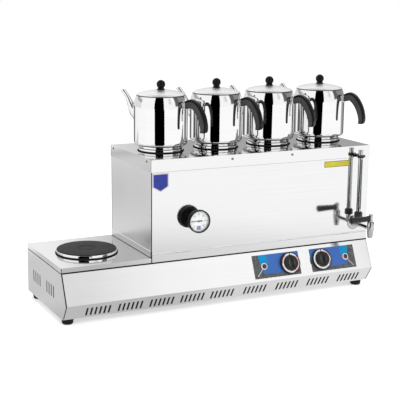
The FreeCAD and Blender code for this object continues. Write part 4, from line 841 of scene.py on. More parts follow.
@dataclass
class Teapot:
    """One teapot that stands in a collar of the boiler's cover."""

    number: int
    finishes: Finishes
    y: float = POT_ROW
    radius: float = 83.0
    wall: float = 1.2
    shoulder: float = 133.0
    mouth_rise: float = 171.5
    bend: float = 86.85
    handle_turn: float = -54.0
    handle_width: float = 21.0

    @property
    def x(self) -> float:
        """Return the pot's place along the boiler."""
        return FIRST_POT + POT_PITCH * (self.number - 1)

    @property
    def place(self) -> Matrix:
        """Return the pot's place on the cover."""
        return upright(self.x, self.y, BOILER_TOP)

    @property
    def name(self) -> str:
        """Return the pot's name, which is also the name of its CAD body."""
        return f"teapot_{self.number}"

    def build(self) -> None:
        """Build all the pot's pieces."""
        self.shell()
        self.fittings()
        self.spout()
        self.grip()
        self.lid()
        self.ball()

    def shell(self) -> None:
        """Draw the pot: stepped spigot, rounded corner, straight wall, drawn-in shoulder and handle tab."""
        centre = (self.radius - self.bend, self.shoulder)
        lean = math.degrees(math.asin((self.mouth_rise - self.shoulder) / self.bend))
        outer = rounded([(0, -8, 0), (59.5, -8, 3), (59.5, 9.3, 0.3), (66, 9.3, 0.6), (66, 17, 1), (70.5, 18.5, 2),
                         (self.radius, 18.5, 10), (self.radius, 30.5, 0)], closed=False, steps=6)
        outer += [(self.radius, self.shoulder - 1.5)] + arc(centre, self.bend, 0, lean, 16)
        inner = arc(centre, self.bend - self.wall, lean, 0, 12)
        inner += [(self.radius - self.wall, 30)] + arc((73, 28.5), 8.8, 0, -90, 6)
        inner += [(64.8, 18.2), (64.8, 10.5), (58.3, 10.5), (58.3, -5), (56.5, -6.8), (0, -6.8)]
        piece = Piece(f"{self.name}_shell").turned(outer + inner, self.place, 144)
        piece.finish(self.finishes["pot_steel"], self.name, "polished_steel", [f"{self.name}_body"])

    def fittings(self) -> None:
        """Add the rolled ring at the mouth, coloured dark as painted shade under the lid, the folded bracket with two
        rivets that bears the handle, and dark bands of painted shade at the base.
        """
        node = [f"{self.name}_body"]
        # Painted shade: the mouth ring is dark so that it reads as the shaded gap under the lid's rim.
        ring = rounded([(73.2, 168.8, 0), (75.35, 168.8, 0.3), (75.2, 170.4, 0.6), (74.6, 171.6, 0.4),
                        (73.2, 171.6, 0)])
        Piece(f"{self.name}_mouth_painted_shade_ring").turned(ring, self.place, 144).finish(
            self.finishes["painted_shade_steel"], self.name, "polished_steel", node)
        tab = self.place @ upright(0, 0, 0, self.handle_turn)
        piece = Piece(f"{self.name}_bracket")
        piece.block((81.2, -8.5, 131.5), (88.1, 8.5, 150), tab, 1.6)
        piece.block((81.2, -11.5, 129.5), (83.6, 11.5, 152), tab, 0.8)
        rivet = Matrix.Rotation(math.radians(90), 4, "Y")
        for aside in (-10.2, 10.2):
            for rise in (133, 148.5):
                head = [(0, 2.0), (1.0, 1.8), (1.7, 1.2), (2.0, 0.4), (2.0, -1.5), (0, -1.5)]
                piece.turned(head, tab @ Matrix.Translation((82.6, aside, rise)) @ rivet, 16)
        piece.finish(self.finishes["satin_steel"], self.name, "polished_steel", node)
        # Painted shade: dark bands at the pot's lower corner and at its foot ledge.
        band = arc((73, 28.5), 10.06, -78, -34, 8) + arc((73, 28.5), 9.6, -34, -78, 8)
        rings = Piece(f"{self.name}_base_painted_shade_bands").turned(band, self.place, 144)
        rings.turned(rounded([(65.6, 9.25, 0), (67.6, 9.25, 0.3), (67.6, 10.6, 0.5), (65.6, 10.6, 0)]), self.place, 96)
        rings.finish(self.finishes["painted_shade_steel"], self.name, "polished_steel", node)

    def spout(self) -> None:
        """Draw the swan-neck spout and seat its root in the pot's wall."""
        turn = self.handle_turn + 180
        side = self.place @ upright(0, 0, 0, turn)
        stations = eased([(60, 90, 23, 75), (95, 113, 15.35, 48), (107, 134, 10.7, 22), (120.8, 160.25, 7.15, 30),
                          (136.4, 178.5, 8, 26)], 7)
        stations.append((136.55, 178.9, 7.6, 26))
        skins = stations + [(reach, rise, size - 1, tilt) for reach, rise, size, tilt in reversed(stations[:-1])]
        rings = []
        for reach, rise, size, tilt in skins:
            ring = side @ Matrix.Translation((reach, 0, rise)) @ Matrix.Rotation(math.radians(tilt), 4, "Y")
            rings.append([ring @ Vector((x, y, 0)) for x, y in arc((0, 0), size, 0, 360 * 31 / 32, 31)])
        piece = Piece(f"{self.name}_swan_neck").lofted(rings, caps=False)
        outward = Vector((math.cos(math.radians(turn)), math.sin(math.radians(turn)), 0))
        axis = Vector((self.x, self.y, 0))
        cut = axis + outward * 79.6
        bmesh.ops.bisect_plane(piece.mesh, geom=piece.mesh.verts[:] + piece.mesh.edges[:] + piece.mesh.faces[:],
                               plane_co=cut, plane_no=outward, clear_inner=True)
        root = [vert for vert in piece.mesh.verts if abs((vert.co - cut).dot(outward)) < 0.01]
        for vert in root:
            arm = Vector((vert.co.x - axis.x, vert.co.y - axis.y, 0))
            vert.co += arm.normalized() * (self.radius - 0.4 - arm.length)
        loose = [edge for edge in piece.mesh.edges if len(edge.link_faces) == 1]
        bmesh.ops.bridge_loops(piece.mesh, edges=loose)
        piece.finish(self.finishes["pot_steel"], self.name, "polished_steel", [f"{self.name}_spout"])

    def grip(self) -> None:
        """Draw the moulded handle: an arched grip with a parting groove along both sides, and its smoother top part in
        a darker black that paints the shade on the handle's top.
        """
        stations = eased([
            (88.3, 156.5, 88.3, 133), (97, 161.2, 97, 134.2), (108.3, 163.4, 107.5, 136.2), (121, 159.2, 115.8, 129.6),
            (133, 149.6, 123, 120.5), (145.5, 131.5, 130.2, 107.5), (154.4, 111, 135.8, 93), (159.2, 90, 139.2, 78.5),
            (160, 76, 139.6, 70.5), (158.4, 68, 138.8, 66)], 3)
        stations += [(156, 64.6, 140, 63.6), (151.5, 63.3, 144.5, 63.1)]
        place = self.place @ upright(0, 0, 0, self.handle_turn)
        thins = {len(stations) - 1: 0.5, len(stations) - 2: 0.86}
        # The top part wears a darker copy of the grip's black: painted shade on the handle's top and outer edge.
        for part, low, high, finish in (("handle", -1.0, 0.62, "grip_phenolic"), ("handle_spine", 0.62, 1.0, "painted_shade_spine")):
            rings = []
            for number, (outer_r, outer_z, inner_r, inner_z) in enumerate(stations):
                outer, inner = Vector((outer_r, 0, outer_z)), Vector((inner_r, 0, inner_z))
                half = (outer - inner) / 2
                middle = (outer + inner) / 2 + half * (low + high) / 2
                width = self.handle_width / 2 * thins.get(number, 1.0)
                ring = []
                for step in range(32):
                    angle = 2 * math.pi * step / 32
                    across = math.copysign(abs(math.cos(angle)) ** 0.6, math.cos(angle)) * (high - low) / 2
                    aside = math.copysign(abs(math.sin(angle)) ** 0.6, math.sin(angle))
                    if step in (8, 24):
                        aside *= 0.93
                    ring.append(place @ (middle + half * across + Vector((0, width * aside, 0))))
                rings.append(ring)
            Piece(f"{self.name}_{part}").lofted(rings).finish(
                self.finishes[finish], self.name, "black_plastic", [f"{self.name}_grip"], sharp=40)

    def lid(self) -> None:
        """Draw the domed lid: steep flank, fuller crown and a plug rim that drops into the mouth."""
        low = self.mouth_rise + 0.3
        crown, top = 69.0, low + 15.2
        shoulder = low + 4.6
        sphere = (crown ** 2 + (top - shoulder) ** 2) / (2 * (top - shoulder))
        sweep = math.degrees(math.asin(crown / sphere))
        outer = rounded([(72, low - 7, 0), (72, low, 0), (75, low, 0.3), (75, low + 1, 0.5), (crown, shoulder, 7),
                         (crown - 6, shoulder + 1.6, 0)], closed=False, steps=6)[:-1]
        outer += arc((0, top - sphere), sphere, 90 - sweep * 0.90, 90 - 0.55, 20)
        inner = arc((0, top - sphere - self.wall), sphere, 90 - 0.55, 90 - sweep * 0.88, 10)
        inner += [(70.8, low + 2), (70.8, low - 7)]
        piece = Piece(f"{self.name}_dome").turned(outer + inner, self.place, 144)
        piece.finish(self.finishes["lid_steel"], f"{self.name}_top", "polished_steel", [f"{self.name}_lid"])

    def ball(self) -> None:
        """Turn the black ball knob on its flared foot, with the stud and nut below the lid."""
        foot = self.mouth_rise + 15.2
        centre = self.mouth_rise + 31.3
        outline = [(0, foot - 5.5), (4.4, foot - 5.5), (4.4, foot - 2.5), (2, foot - 2.5), (2, foot), (12.4, foot),
                   (12.9, foot + 0.4), (12.9, foot + 1.0)]
        outline += [(11.6, foot + 2.0), (10.4, foot + 3.2), (9.7, foot + 4.4), (9.5, foot + 5.4)]
        outline += arc((0, centre), 13.5, -47, 90, 22)
        piece = Piece(f"{self.name}_finial").turned(outline, self.place, 64)
        piece.finish(self.finishes["ball_phenolic"], f"{self.name}_top", "black_plastic", [f"{self.name}_knob"])


@dataclass
class Base:
    """Low base: feet, deck, side hot plate and cable gland."""

    finishes: Finishes
    plate_x: float = -392.5
    plate_y: float = 30.0
    feet_x: tuple[float, float] = (-501.0, 501.0)
    feet_y: tuple[float, float] = (-101.0, 173.0)
    vents: tuple[tuple[float, float, int], ...] = ((-455.5, 101.0, 5), (63.0, 115.0, 4))

    def build(self) -> None:
        """Build the base's own pieces and dress its sheet metal."""
        self.finishes.dress("face_steel", "base_front_panel")
        self.finishes.dress("brushed_side", "base_side_panels", "base_back_panel")
        self.finishes.dress("deck_steel", "base_top_plate")
        self.finishes.dress("plain_steel", "base_bottom_plate", "hotplate_clamp")
        self.feet()
        self.hot_plate()
        self.gland()
        self.seams()
        self.painted_vent_shade()

    def feet(self) -> None:
        """Turn the four rubber feet with their studs and washers."""
        piece = Piece("rubber_feet")
        outline = rounded([(0, 0, 0), (14, 0, 0.6), (16.2, 2.4, 1.6), (17.2, 9, 0), (17.2, 10.4, 0.3), (18, 11, 0.3),
                           (18, 19.7, 0.6), (4, 19.7, 0), (4, 21.5, 0), (9, 21.5, 0.4), (9, 25.5, 0.6), (0, 25.5, 0)],
                          closed=False)
        for x in self.feet_x:
            for y in self.feet_y:
                piece.turned(outline, upright(x, y, 0), 48)
        piece.finish(self.finishes["rubber"], Body.MACHINE, "black_rubber", ["feet"])

    def hot_plate(self) -> None:
        """Turn the iron disc with its centre ring, the bright spill ring round it and a black ring of painted shadow
        at its foot.
        """
        top = 13.0
        disc = rounded([(0, top - 0.5, 0), (22.5, top - 0.5, 0.3), (23.5, top - 1.1, 0.3), (26, top - 1.1, 0.3),
                        (27, top, 0.4), (90, top, 1.6), (90, 1.6, 0), (80, 1.6, 0), (76, 2.5, 0), (12, 2.5, 0),
                        (4.3, 2.5, 0), (4.3, 9, 0), (0, 9, 0)], closed=False, steps=5)
        place = upright(self.plate_x, self.plate_y, DECK_TOP)
        iron = CastIron("cast_iron", Vector((self.plate_x, self.plate_y, DECK_TOP)) * MM).material()
        Piece("heating_disc").turned(disc, place, 144).finish(iron, Body.MACHINE, "cast_iron", ["hotplate_disc"])
        ring = rounded([(81, 0.3, 0), (93.3, 0.3, 0.2), (91.9, 2.3, 0.8), (91.9, 10.5, 0.6), (90.35, 10.5, 0.5),
                        (90.35, 1.3, 0.4), (81, 1.3, 0)], steps=4)
        Piece("spill_ring").turned(ring, place, 144).finish(
            self.finishes["pot_steel"], Body.MACHINE, "bright_trim", ["hotplate_rim"])
        # Painted shadow: a black ring at the spill ring's foot.
        shadow_profile = rounded([(92.0, 0.05, 0), (95.0, 0.05, 0.4), (94.4, 3.0, 0.9), (91.95, 3.4, 0.2)])
        Piece("plate_painted_shadow").turned(shadow_profile, place, 144).finish(
            self.finishes["painted_shade_black"], Body.MACHINE, "black_rubber")

    def seams(self) -> None:
        """Paint the shade in the open joints between the sheets: dark strips, and a pale grey strip at the face's
        right end.
        """
        # Painted shade: dark strips in the seam under the deck's front skirt, down the face's left end and at the
        # skirt's left corner.
        piece = Piece("joint_painted_shade")
        piece.block((-523.5, -121.6, 154.6), (523.5, -117.5, 158.2), bevel=0.5)
        piece.block((-1.9, -95.0, 0.05), (1.7, -0.6, 0.6), on_face(-522.9, 0), 0.2)
        piece.block((-524.9, -120.3, 157.6), (-522.8, -119.9, 171.4), bevel=0.1)
        piece.finish(self.finishes["painted_shade_black"], Body.MACHINE, "black_rubber")
        # Painted shade: a pale grey strip down the face's right end.
        Piece("end_painted_shade").block((-1.3, -95.0, 0.05), (1.4, -0.6, 0.4), on_face(522.9, 0), 0.1).finish(
            self.finishes["painted_pale_shade"], Body.MACHINE, "black_rubber")

    def painted_vent_shade(self) -> None:
        """Paint the shade inside the vents in the front and in both side panels: dark plugs in the slots, backed by
        dark sheets.
        """
        fold = Matrix((Vector((1, 0, 0)), Vector((0, -0.5508, 0.8347)), Vector((0, -0.8347, -0.5508)))).transposed()
        front = Matrix.Translation((0, -159, 68.5)) @ fold.to_4x4()
        # Painted shade: dark sheets behind the vents.
        piece = Piece("vent_backing_painted_shade").block((-505, -50.5, -2.6), (505, -14, -2.0), front, 0.1)
        for side in (-1, 1):
            inner, outer = sorted((side * 522.6, side * 523.2))
            piece.block((inner, -56, 62), (outer, 150, 106), bevel=0.1)
        piece.finish(self.finishes["painted_shade_black"], Body.MACHINE, "black_plastic")
        # Painted shade: dark plugs that fill the vent slots.
        front_shade, sides = Piece("front_vent_painted_shade"), Piece("side_vent_painted_shade")
        for start, pitch, count in self.vents:
            for number in range(count):
                for slot in range(6):
                    x = start + pitch * number + 14 * slot
                    front_shade.block((x - 2.9, -49.4, -2.1), (x + 2.9, -16.5, 0.2), front)
        for side in (-1, 1):
            inner, outer = sorted((side * 523.1, side * 525.15))
            for y in (-50, 80):
                for slot in range(4):
                    sides.block((inner, y + 21 * slot - 3, 66.2), (outer, y + 21 * slot + 3, 101.8))
        front_shade.finish(self.finishes["painted_shade_black"], Body.MACHINE, "black_plastic")
        sides.finish(self.finishes["vent_painted_shade"], Body.MACHINE, "black_plastic")

    def gland(self) -> None:
        """Build the cable gland at the back: hexagon, ribbed dome nut and rubber-lined mouth."""
        place = backward(375, 206, 80)
        piece = Piece("cable_gland_nut")
        piece.prism(arc((0, 0), 12, 0, 300, 5), 0.1, 6, place, 0.5)
        dome = rounded([(5.5, -10, 0), (9, -10, 0), (9, 6, 0), (10.8, 6.1, 0.5), (10.8, 10, 1), (8.8, 15, 2),
                        (7, 20, 0.8), (5.5, 20, 0.4)])
        piece.turned(dome, place, 48)
        for step in range(12):
            rib = place @ Matrix.Rotation(math.radians(30 * step), 4, "Z")
            piece.block((10.2, -0.9, 6.6), (11.4, 0.9, 10.5), rib, 0.3)
        piece.finish(self.finishes["phenolic"], Body.MACHINE, "black_plastic", ["cable_gland"])


@dataclass
class Boiler:
    """Boiler casing: panels, cover, screws, bare badge and bare strip."""

    finishes: Finishes

    def build(self) -> None:
        """Dress the casing and add its trim."""
        self.finishes.dress("mirror_panel", "boiler_front_panel", "boiler_back_panel")
        self.finishes.dress("cover_steel", "top_cover")
        self.finishes.dress("brushed_side", "boiler_side_panels")
        self.finishes.dress("plain_steel", "water_tank", "heating_element")
        self.finishes.dress("screw_plating", "cover_screws")
        self.badge()
        self.strip()
        self.seams()

    def badge(self) -> None:
        """Set the bare shield-shaped badge near the panel's upper left corner."""
        place = forward(-213.9, PANEL_FRONT - 0.05, 398)
        for name, shrink, rise, finish in (("badge_rim", 0.0, 0.5, "lilac_print"),
                                           ("badge_field", 3.6, 0.7, "blue_print")):
            wide, high = 26.5 - shrink, 28.3 - shrink
            outline = rounded([(-wide, high, 2), (wide, high, 2), (wide, -0.46 * high, 3), (0, -high, 2),
                               (-wide, -0.46 * high, 3)])
            Piece(name).prism(outline, 0, rise, place, 0.12).finish(
                self.finishes[finish], Body.MACHINE, "printed_plate")

    def strip(self) -> None:
        """Set the bare yellow strip near the panel's upper right corner."""
        place = forward(400.5, PANEL_FRONT - 0.05, 413.5)
        Piece("strip_edge").block((-47.0, -9.6, 0), (47.0, 9.6, 0.3), place, 0.1).finish(
            self.finishes["olive_print"], Body.MACHINE, "printed_plate")
        Piece("strip_field").block((-45.4, -8.0, 0.1), (45.4, 8.0, 0.4), place, 0.1).finish(
            self.finishes["yellow_print"], Body.MACHINE, "printed_plate")

    def seams(self) -> None:
        """Paint the shade in the casing's open joints with dark, pale and grey strips, paint a dark shadow ring at
        each collar's foot, and add the bright collar sleeves.
        """
        # Painted shade: dark strips in the open joint at the boiler's front left corner.
        dark = Piece("corner_painted_shade")
        dark.block((-243.8, -118.95, 183.6), (-241.2, -118.2, 429.9), bevel=0.1)
        dark.block((-243.8, -120.35, 157.6), (-241.2, -119.7, 183.4), bevel=0.1)
        dark.finish(self.finishes["painted_shade_black"], Body.MACHINE, "black_rubber")
        # Painted shade: a pale grey line along the band's top edge.
        Piece("band_painted_shade_line").block((-241, -120.2, 183.0), (523, -118.3, 184.6), bevel=0.3).finish(
            self.finishes["painted_pale_shade"], Body.MACHINE, "black_rubber")
        # Painted shadow: a black ring at the foot of each collar.
        shadow_rings = Piece("collar_painted_shadow")
        bands = Piece("collar_bands")
        outline = rounded([(67.6, 0.05, 0), (72.6, 0.05, 0.3), (71.0, 2.6, 1.2), (67.9, 3.6, 0.2)])
        sleeve = rounded([(67.9, 3.4, 0), (68.4, 3.4, 0), (68.4, 8.7, 0.3), (67.9, 8.9, 0)])
        for number in range(POTS):
            place = upright(FIRST_POT + POT_PITCH * number, POT_ROW, BOILER_TOP)
            shadow_rings.turned(outline, place, 96)
            bands.turned(sleeve, place, 144)
        shadow_rings.finish(self.finishes["painted_shade_black"], Body.MACHINE, "black_rubber")
        bands.finish(self.finishes["pot_steel"], Body.MACHINE, "bright_trim")
        # Painted shade: a grey line under the cover's front skirt.
        Piece("cover_painted_shade_line").block((-241, -119.1, 428.9), (464, -118.4, 429.95), bevel=0.1).finish(
            self.finishes["painted_shade_grey"], Body.MACHINE, "black_rubber")


@dataclass
class Controls:
    """Two face plates on the sloped face, each with a heat knob and a red lamp."""

    finishes: Finishes
    plate_left: tuple[float, float] = (92.0, 300.0)
    plate_width: float = 166.0
    plate_height: float = 74.0
    plate_depth: float = 0.8
    leader_ends: tuple[Point, Point] = ((10.0, 6.0), (156.0, 6.0))
    leader_gap: float = 9.0
    knob_x: tuple[float, float] = (221.0, 337.0)
    lamp_x: tuple[float, float] = (129.0, 429.0)
    middle: float = 49.0
    red_arcs: tuple[tuple[tuple[float, float], ...], ...] = (((-75, 45), (125, 178)), ((15, 70), (-40, -15)))

    def build(self) -> None:
        """Build both controls."""
        self.finishes.dress("phenolic", "heat_regulators")
        self.lamps()
        for number in range(2):
            self.plate(number)
            self.knob(number)

    def plate(self, number: int) -> None:
        """Lay one printed plate with its white leader from the lamp to the corner.

        Args:
            number: The control's number, from nought at the left.
        """
        left, width, height = self.plate_left[number], self.plate_width, self.plate_height
        place = on_face(left, 86, 0.1)
        printed = PlatePrint(f"plate_print_{number + 1}", place.translation * MM, width * MM, height * MM, number == 1)
        outline = rounded([(0, 0, 1.5), (width, 0, 1.5), (width, height, 1.5), (0, height, 1.5)])
        Piece(f"face_plate_{number + 1}").prism(outline, 0, self.plate_depth, place, 0.15).finish(
            printed.material(), Body.MACHINE, "printed_plate", ["control_plates"])
        lamp = Vector((self.lamp_x[number] - left, height / 2, 0))
        reach = Vector((*self.leader_ends[number], 0)) - lamp
        start = lamp + reach.normalized() * self.leader_gap
        turn = Matrix.Rotation(math.atan2(reach.y, reach.x), 4, "Z")
        leader = place @ Matrix.Translation(start) @ turn
        line = Piece(f"lamp_leader_{number + 1}")
        line.block((0, -0.7, 0.75), (reach.length - self.leader_gap, 0.7, 0.88), leader, 0.05)
        line.finish(self.finishes["white_print"], Body.MACHINE, "printed_plate")

    def knob(self, number: int) -> None:
        """Build one knob: dished skirt, finger disc and a pointed bar, with its shaft, numbered ring and grey
        crescents of painted highlight beside the bar.

        Args:
            number: The control's number, from nought at the left.
        """
        name = f"knob_{number + 1}"
        place = on_face(self.knob_x[number], self.middle, self.plate_depth)
        outline = rounded([(0, -14, 0), (3, -14, 0), (3, 3, 0), (34.8, 3, 0.4), (35.5, 4, 0.6), (34.6, 8.4, 0.8),
                           (33.4, 9, 0.3), (25.2, 9, 0.3), (24.5, 9.4, 0.2), (23.4, 16.6, 1.6), (20, 18, 1),
                           (0, 17, 0)], closed=False)
        piece = Piece(f"{name}_grip").turned(outline, place, 96)
        rings = []
        for height, wide, long in ((15.5, 12.5, 23.2), (18.2, 8.6, 22.9), (22, 5.2, 22.3), (26, 3.4, 21.4),
                                   (28.4, 2.5, 20.6), (29, 1.5, 19.4)):
            angles = (2 * math.pi * (step + 0.5) / 48 for step in range(48))
            rings.append([place @ Vector((wide * math.cos(angle) * abs(math.cos(angle)) ** 0.7,
                                          long * math.sin(angle), height)) for angle in angles])
        piece.lofted(rings)
        piece.finish(self.finishes["phenolic"], name, "black_plastic", [name])
        # Painted highlight: thin grey crescents beside the bar stand in for the sheen on its flanks.
        leaf = arc((-21.6, 0), 31.2, -44, 44, 16) + arc((-21.6, 0), 29.9, 40, -40, 16)
        edges = Piece(f"{name}_leaf_painted_highlight")
        for turn in (0, 180):
            edges.prism(leaf, 16.6, 18.4, place @ Matrix.Rotation(math.radians(turn), 4, "Z"))
        edges.finish(self.finishes["knob_painted_sheen"], name, "black_plastic", [name])
        ring = ScalePrint(f"scale_print_{number + 1}", on_face(self.knob_x[number], self.middle).translation * MM,
                          self.red_arcs[number])
        self.finishes.dress(ring.material(), f"knob_scale_{number + 1}")
        marks = Piece(f"{name}_numerals")
        for step, text in enumerate(("0", "30", "50", "70", "90", "110")):
            angle = 90 - 50 * step
            spot = place @ Matrix.Rotation(math.radians(angle - 90), 4, "Z") @ Matrix.Translation((0, 28.0, 9.86))
            marks.words(text, 2.6, spot)
        marks.finish(self.finishes["black_print"], name, "printed_plate")

    def lamps(self) -> None:
        """Turn the bright lamp rings and the red ribbed lenses."""
        bezels, cones, lenses = Piece("lamp_rings"), Piece("lamp_cones"), Piece("lamp_caps")
        ring = rounded([(7.7, 0.1, 0), (10.6, 0.1, 0.2), (10.4, 3.2, 0.9), (9.2, 4, 0.5), (7.7, 3.6, 0.3)])
        cone = rounded([(5.8, 0.1, 0), (7.65, 0.1, 0), (7.65, 3.2, 0), (5.8, 1.6, 0)])
        dome = [(0, -24), (5, -24), (5, 0.3), (5.6, 0.4), (5.6, 3.6), (5.1, 4.2), (4.5, 4.35), (4.2, 4.6), (3.4, 4.8),
                (3.1, 5.05), (2.1, 5.2), (1.8, 5.45), (0, 5.6)]
        for x in self.lamp_x:
            place = on_face(x, self.middle, self.plate_depth + 0.1)
            for piece, outline in ((bezels, ring), (cones, cone), (lenses, dome)):
                piece.turned(outline, place, 48)
        bezels.finish(self.finishes["ring_white"], Body.MACHINE, "bright_trim", ["lamp_bezels"])
        cones.finish(self.finishes["enamel"], Body.MACHINE, "black_plastic", ["lamp_bezels"])
        lenses.finish(self.finishes["red_lens"], Body.MACHINE, "red_lens", ["lamp_lenses"])


@dataclass
class Gauge:
    """Dial gauge that stands off the front panel on its stem."""

    finishes: Finishes
    axis_x: float = -105.0
    back_y: float = -140.5
    axis_z: float = 280.0
    marks: tuple[str, ...] = ("0", "20", "40", "60", "80", "100", "120")
    start_angle: float = 225.0
    tick_angle: float = 4.5
    ticks_per_mark: int = 10
    ink_low: float = 13.52
    ink_high: float = 13.6

    @property
    def place(self) -> Matrix:
        """Return the gauge's place, its own axis to the front."""
        return forward(self.axis_x, self.back_y, self.axis_z)

    def build(self) -> None:
        """Build the case, the dial's print and the pointer."""
        self.finishes.dress("brass_tone", "gauge_stem")
        self.finishes.dress("clear_glass", "gauge_glass")
        self.finishes.dress("white_enamel", "gauge_dial")
        self.case()
        self.print()
        self.pointer()

    def case(self) -> None:
        """Turn the deep black housing and the crimped dark ring that holds the glass."""
        housing = rounded([(0, 0, 0), (33.2, 0, 4), (33.2, 11.5, 0), (33.2, 18.5, 0), (31.7, 18.5, 0), (31.7, 3, 0),
                           (0, 3, 0)], closed=False)
        Piece("gauge_case").turned(housing, self.place, 96).finish(
            self.finishes["enamel"], Body.MACHINE, "black_enamel", ["gauge_housing"])
        ring = rounded([(33.5, 12.5, 0), (35, 12.5, 0.4), (35, 22.1, 1.3), (32.6, 22.1, 0.5), (31, 20.6, 0.2),
                        (33.5, 20.6, 0)])
        Piece("gauge_ring").turned(ring, self.place, 96).finish(
            self.finishes["enamel"], Body.MACHINE, "bright_trim", ["gauge_bezel"])

    def print(self) -> None:
        """Print the dial: ticks, plain numerals, its border and a plain blue bar."""
        ink = Piece("dial_marks")
        low, high, count = self.ink_low, self.ink_high, self.ticks_per_mark
        for step in range((len(self.marks) - 1) * count + 1):
            angle = math.radians(self.start_angle - self.tick_angle * step)
            tick = self.place @ Matrix.Rotation(angle, 4, "Z")
            reach, half = (28.2, 0.25) if step % count else (25.6, 0.7)
            ink.block((reach, -half, low), (30.2, half, high), tick)
        for step, text in enumerate(self.marks):
            angle = math.radians(self.start_angle - self.tick_angle * count * step)
            spot = Matrix.Translation((20.6 * math.cos(angle), 20.6 * math.sin(angle), 13.56))
            ink.words(text, 7.0, self.place @ spot)
        ink.turned([(30.4, low), (30.9, low), (30.9, high), (30.4, high)], self.place, 72)
        ink.finish(self.finishes["black_print"], Body.MACHINE, "printed_plate")
        bar = rounded([(-6.6, -26.5, 2), (6.6, -26.5, 2), (6.6, -14, 1), (-6.6, -14, 1)])
        Piece("dial_bar").prism(bar, low, 13.62, self.place).finish(
            self.finishes["bar_print"], Body.MACHINE, "printed_plate")

    def pointer(self) -> None:
        """Cut the tapered pointer with its counterweight, hub and pin."""
        piece = Piece("dial_pointer")
        blade = [(-25.2, -0.6), (-4, -1.5), (4, -1.7), (8.5, -2.9), (11.6, -1.9), (11.6, 1.9), (8.5, 2.9), (4, 1.7),
                 (-4, 1.5), (-25.2, 0.6)]
        piece.prism(blade, 14.0, 14.6, self.place, 0.12)
        piece.turned(rounded([(0, 7.8, 0), (1, 7.8, 0), (1, 13.8, 0), (3.5, 13.8, 0), (3.5, 15.2, 0.6), (0, 15.4, 0)],
                             closed=False), self.place, 32)
        piece.finish(self.finishes["enamel"], Body.POINTER, "black_enamel", ["gauge_needle"])


@dataclass
class Tap:
    """Draw-off tap with its swinging handle."""

    finishes: Finishes
    axis_x: float = TAP_X
    axis_y: float = -215.0
    bore_z: float = 216.0
    handle_z: float = 248.0

    def build(self) -> None:
        """Build the rose, the body and the handle."""
        self.finishes.dress("brass_tone", "tap_plug")
        self.rose()
        self.valve()
        self.handle()

    def rose(self) -> None:
        """Turn the flat rose that covers the panel's hole."""
        outline = rounded([(9.3, 0.1, 0), (23, 0.1, 0.3), (23, 1.3, 0.8), (19, 3, 1.5), (9.3, 3, 0)])
        Piece("tap_rose").turned(outline, forward(self.axis_x, PANEL_FRONT, self.bore_z), 72).finish(
            self.finishes["tap_plating"], Body.MACHINE, "bright_trim", ["tap_flange"])

    def valve(self) -> None:
        """Build the tap's body: hexagon, ringed arm, sight boss, barrel and tapered spout."""
        piece = Piece("tap_valve")
        along = forward(self.axis_x, -100, self.bore_z)
        piece.prism(arc((0, 0), 12, 0, 300, 5), 21.8, 27.8, along, 0.6)
        arm = rounded([(4.5, 0, 0), (9, 0, 0), (9, 28.5, 1), (7.4, 30, 1), (6, 33, 2), (6, 38, 0), (7.8, 39, 0.6),
                       (7.8, 53, 0.6), (6, 54, 0), (6, 101, 1), (7, 104, 1), (7, 106, 0), (4.5, 106, 0)])
        piece.turned(arm, along, 64)
        boss = rounded([(2.25, 0, 0), (6.5, 0, 0), (8, 5, 1), (8, 22.7, 0.6), (2.25, 22.7, 0)])
        piece.turned(boss, upright(self.axis_x, GLASS_Y, self.bore_z), 48)
        barrel = rounded([(4.5, -30, 0), (7.4, -30, 0.5), (8, -29.2, 0.5), (8.4, -26, 0.6), (9.2, -22, 1),
                          (11.3, -5, 2), (11.5, 2, 1), (11.5, 19.6, 0), (10.8, 21, 0.8), (7.6, 21, 0),
                          (6.4, -8.2, 0), (4.5, -8.2, 0)])
        piece.turned(barrel, upright(self.axis_x, self.axis_y, self.bore_z), 72)
        piece.finish(self.finishes["tap_plating"], Body.MACHINE, "bright_trim", ["tap_body"])

    def handle(self) -> None:
        """Build the hub nut with its rod, and the black flared grip with its collar."""
        hub = Piece("tap_hub")
        low = self.bore_z + 21.3
        cap = rounded([(3.55, 0, 0), (7, 0, 0.5), (7, 7, 0.4), (6.2, 7.6, 0.3), (6.2, 13.6, 0.3), (7, 14.2, 0.4),
                       (7, 22.5, 1), (5.6, 24.8, 1.2), (2, 25.7, 1), (0, 25.7, 0), (0, 21.7, 0), (3.55, 21.7, 0)],
                      closed=False)
        hub.turned(cap, upright(self.axis_x, self.axis_y, low), 64)
        side = leftward(self.axis_x, self.axis_y, self.handle_z)
        hub.turned([(0, 6), (3, 6), (3, 46), (0, 46)], side, 32)
        hub.finish(self.finishes["tap_plating"], Body.TAP_HANDLE, "bright_trim", ["tap_lever"])
        start = 7.3
        grip = rounded([(3.05, start, 0), (10, start, 0.8), (10, start + 4, 0.8), (8.4, start + 4.6, 0.3),
                        (8.6, start + 14, 6), (9.3, start + 34, 8), (10.6, start + 62, 3), (10.6, start + 66.4, 1),
                        (9.2, start + 67.7, 0.6), (0, start + 67.4, 0), (0, 50.8, 0), (3.05, 50.8, 0)], closed=False)
        Piece("tap_grip_turned").turned(grip, side, 64).finish(
            self.finishes["phenolic"], Body.TAP_HANDLE, "black_plastic", ["tap_grip"])


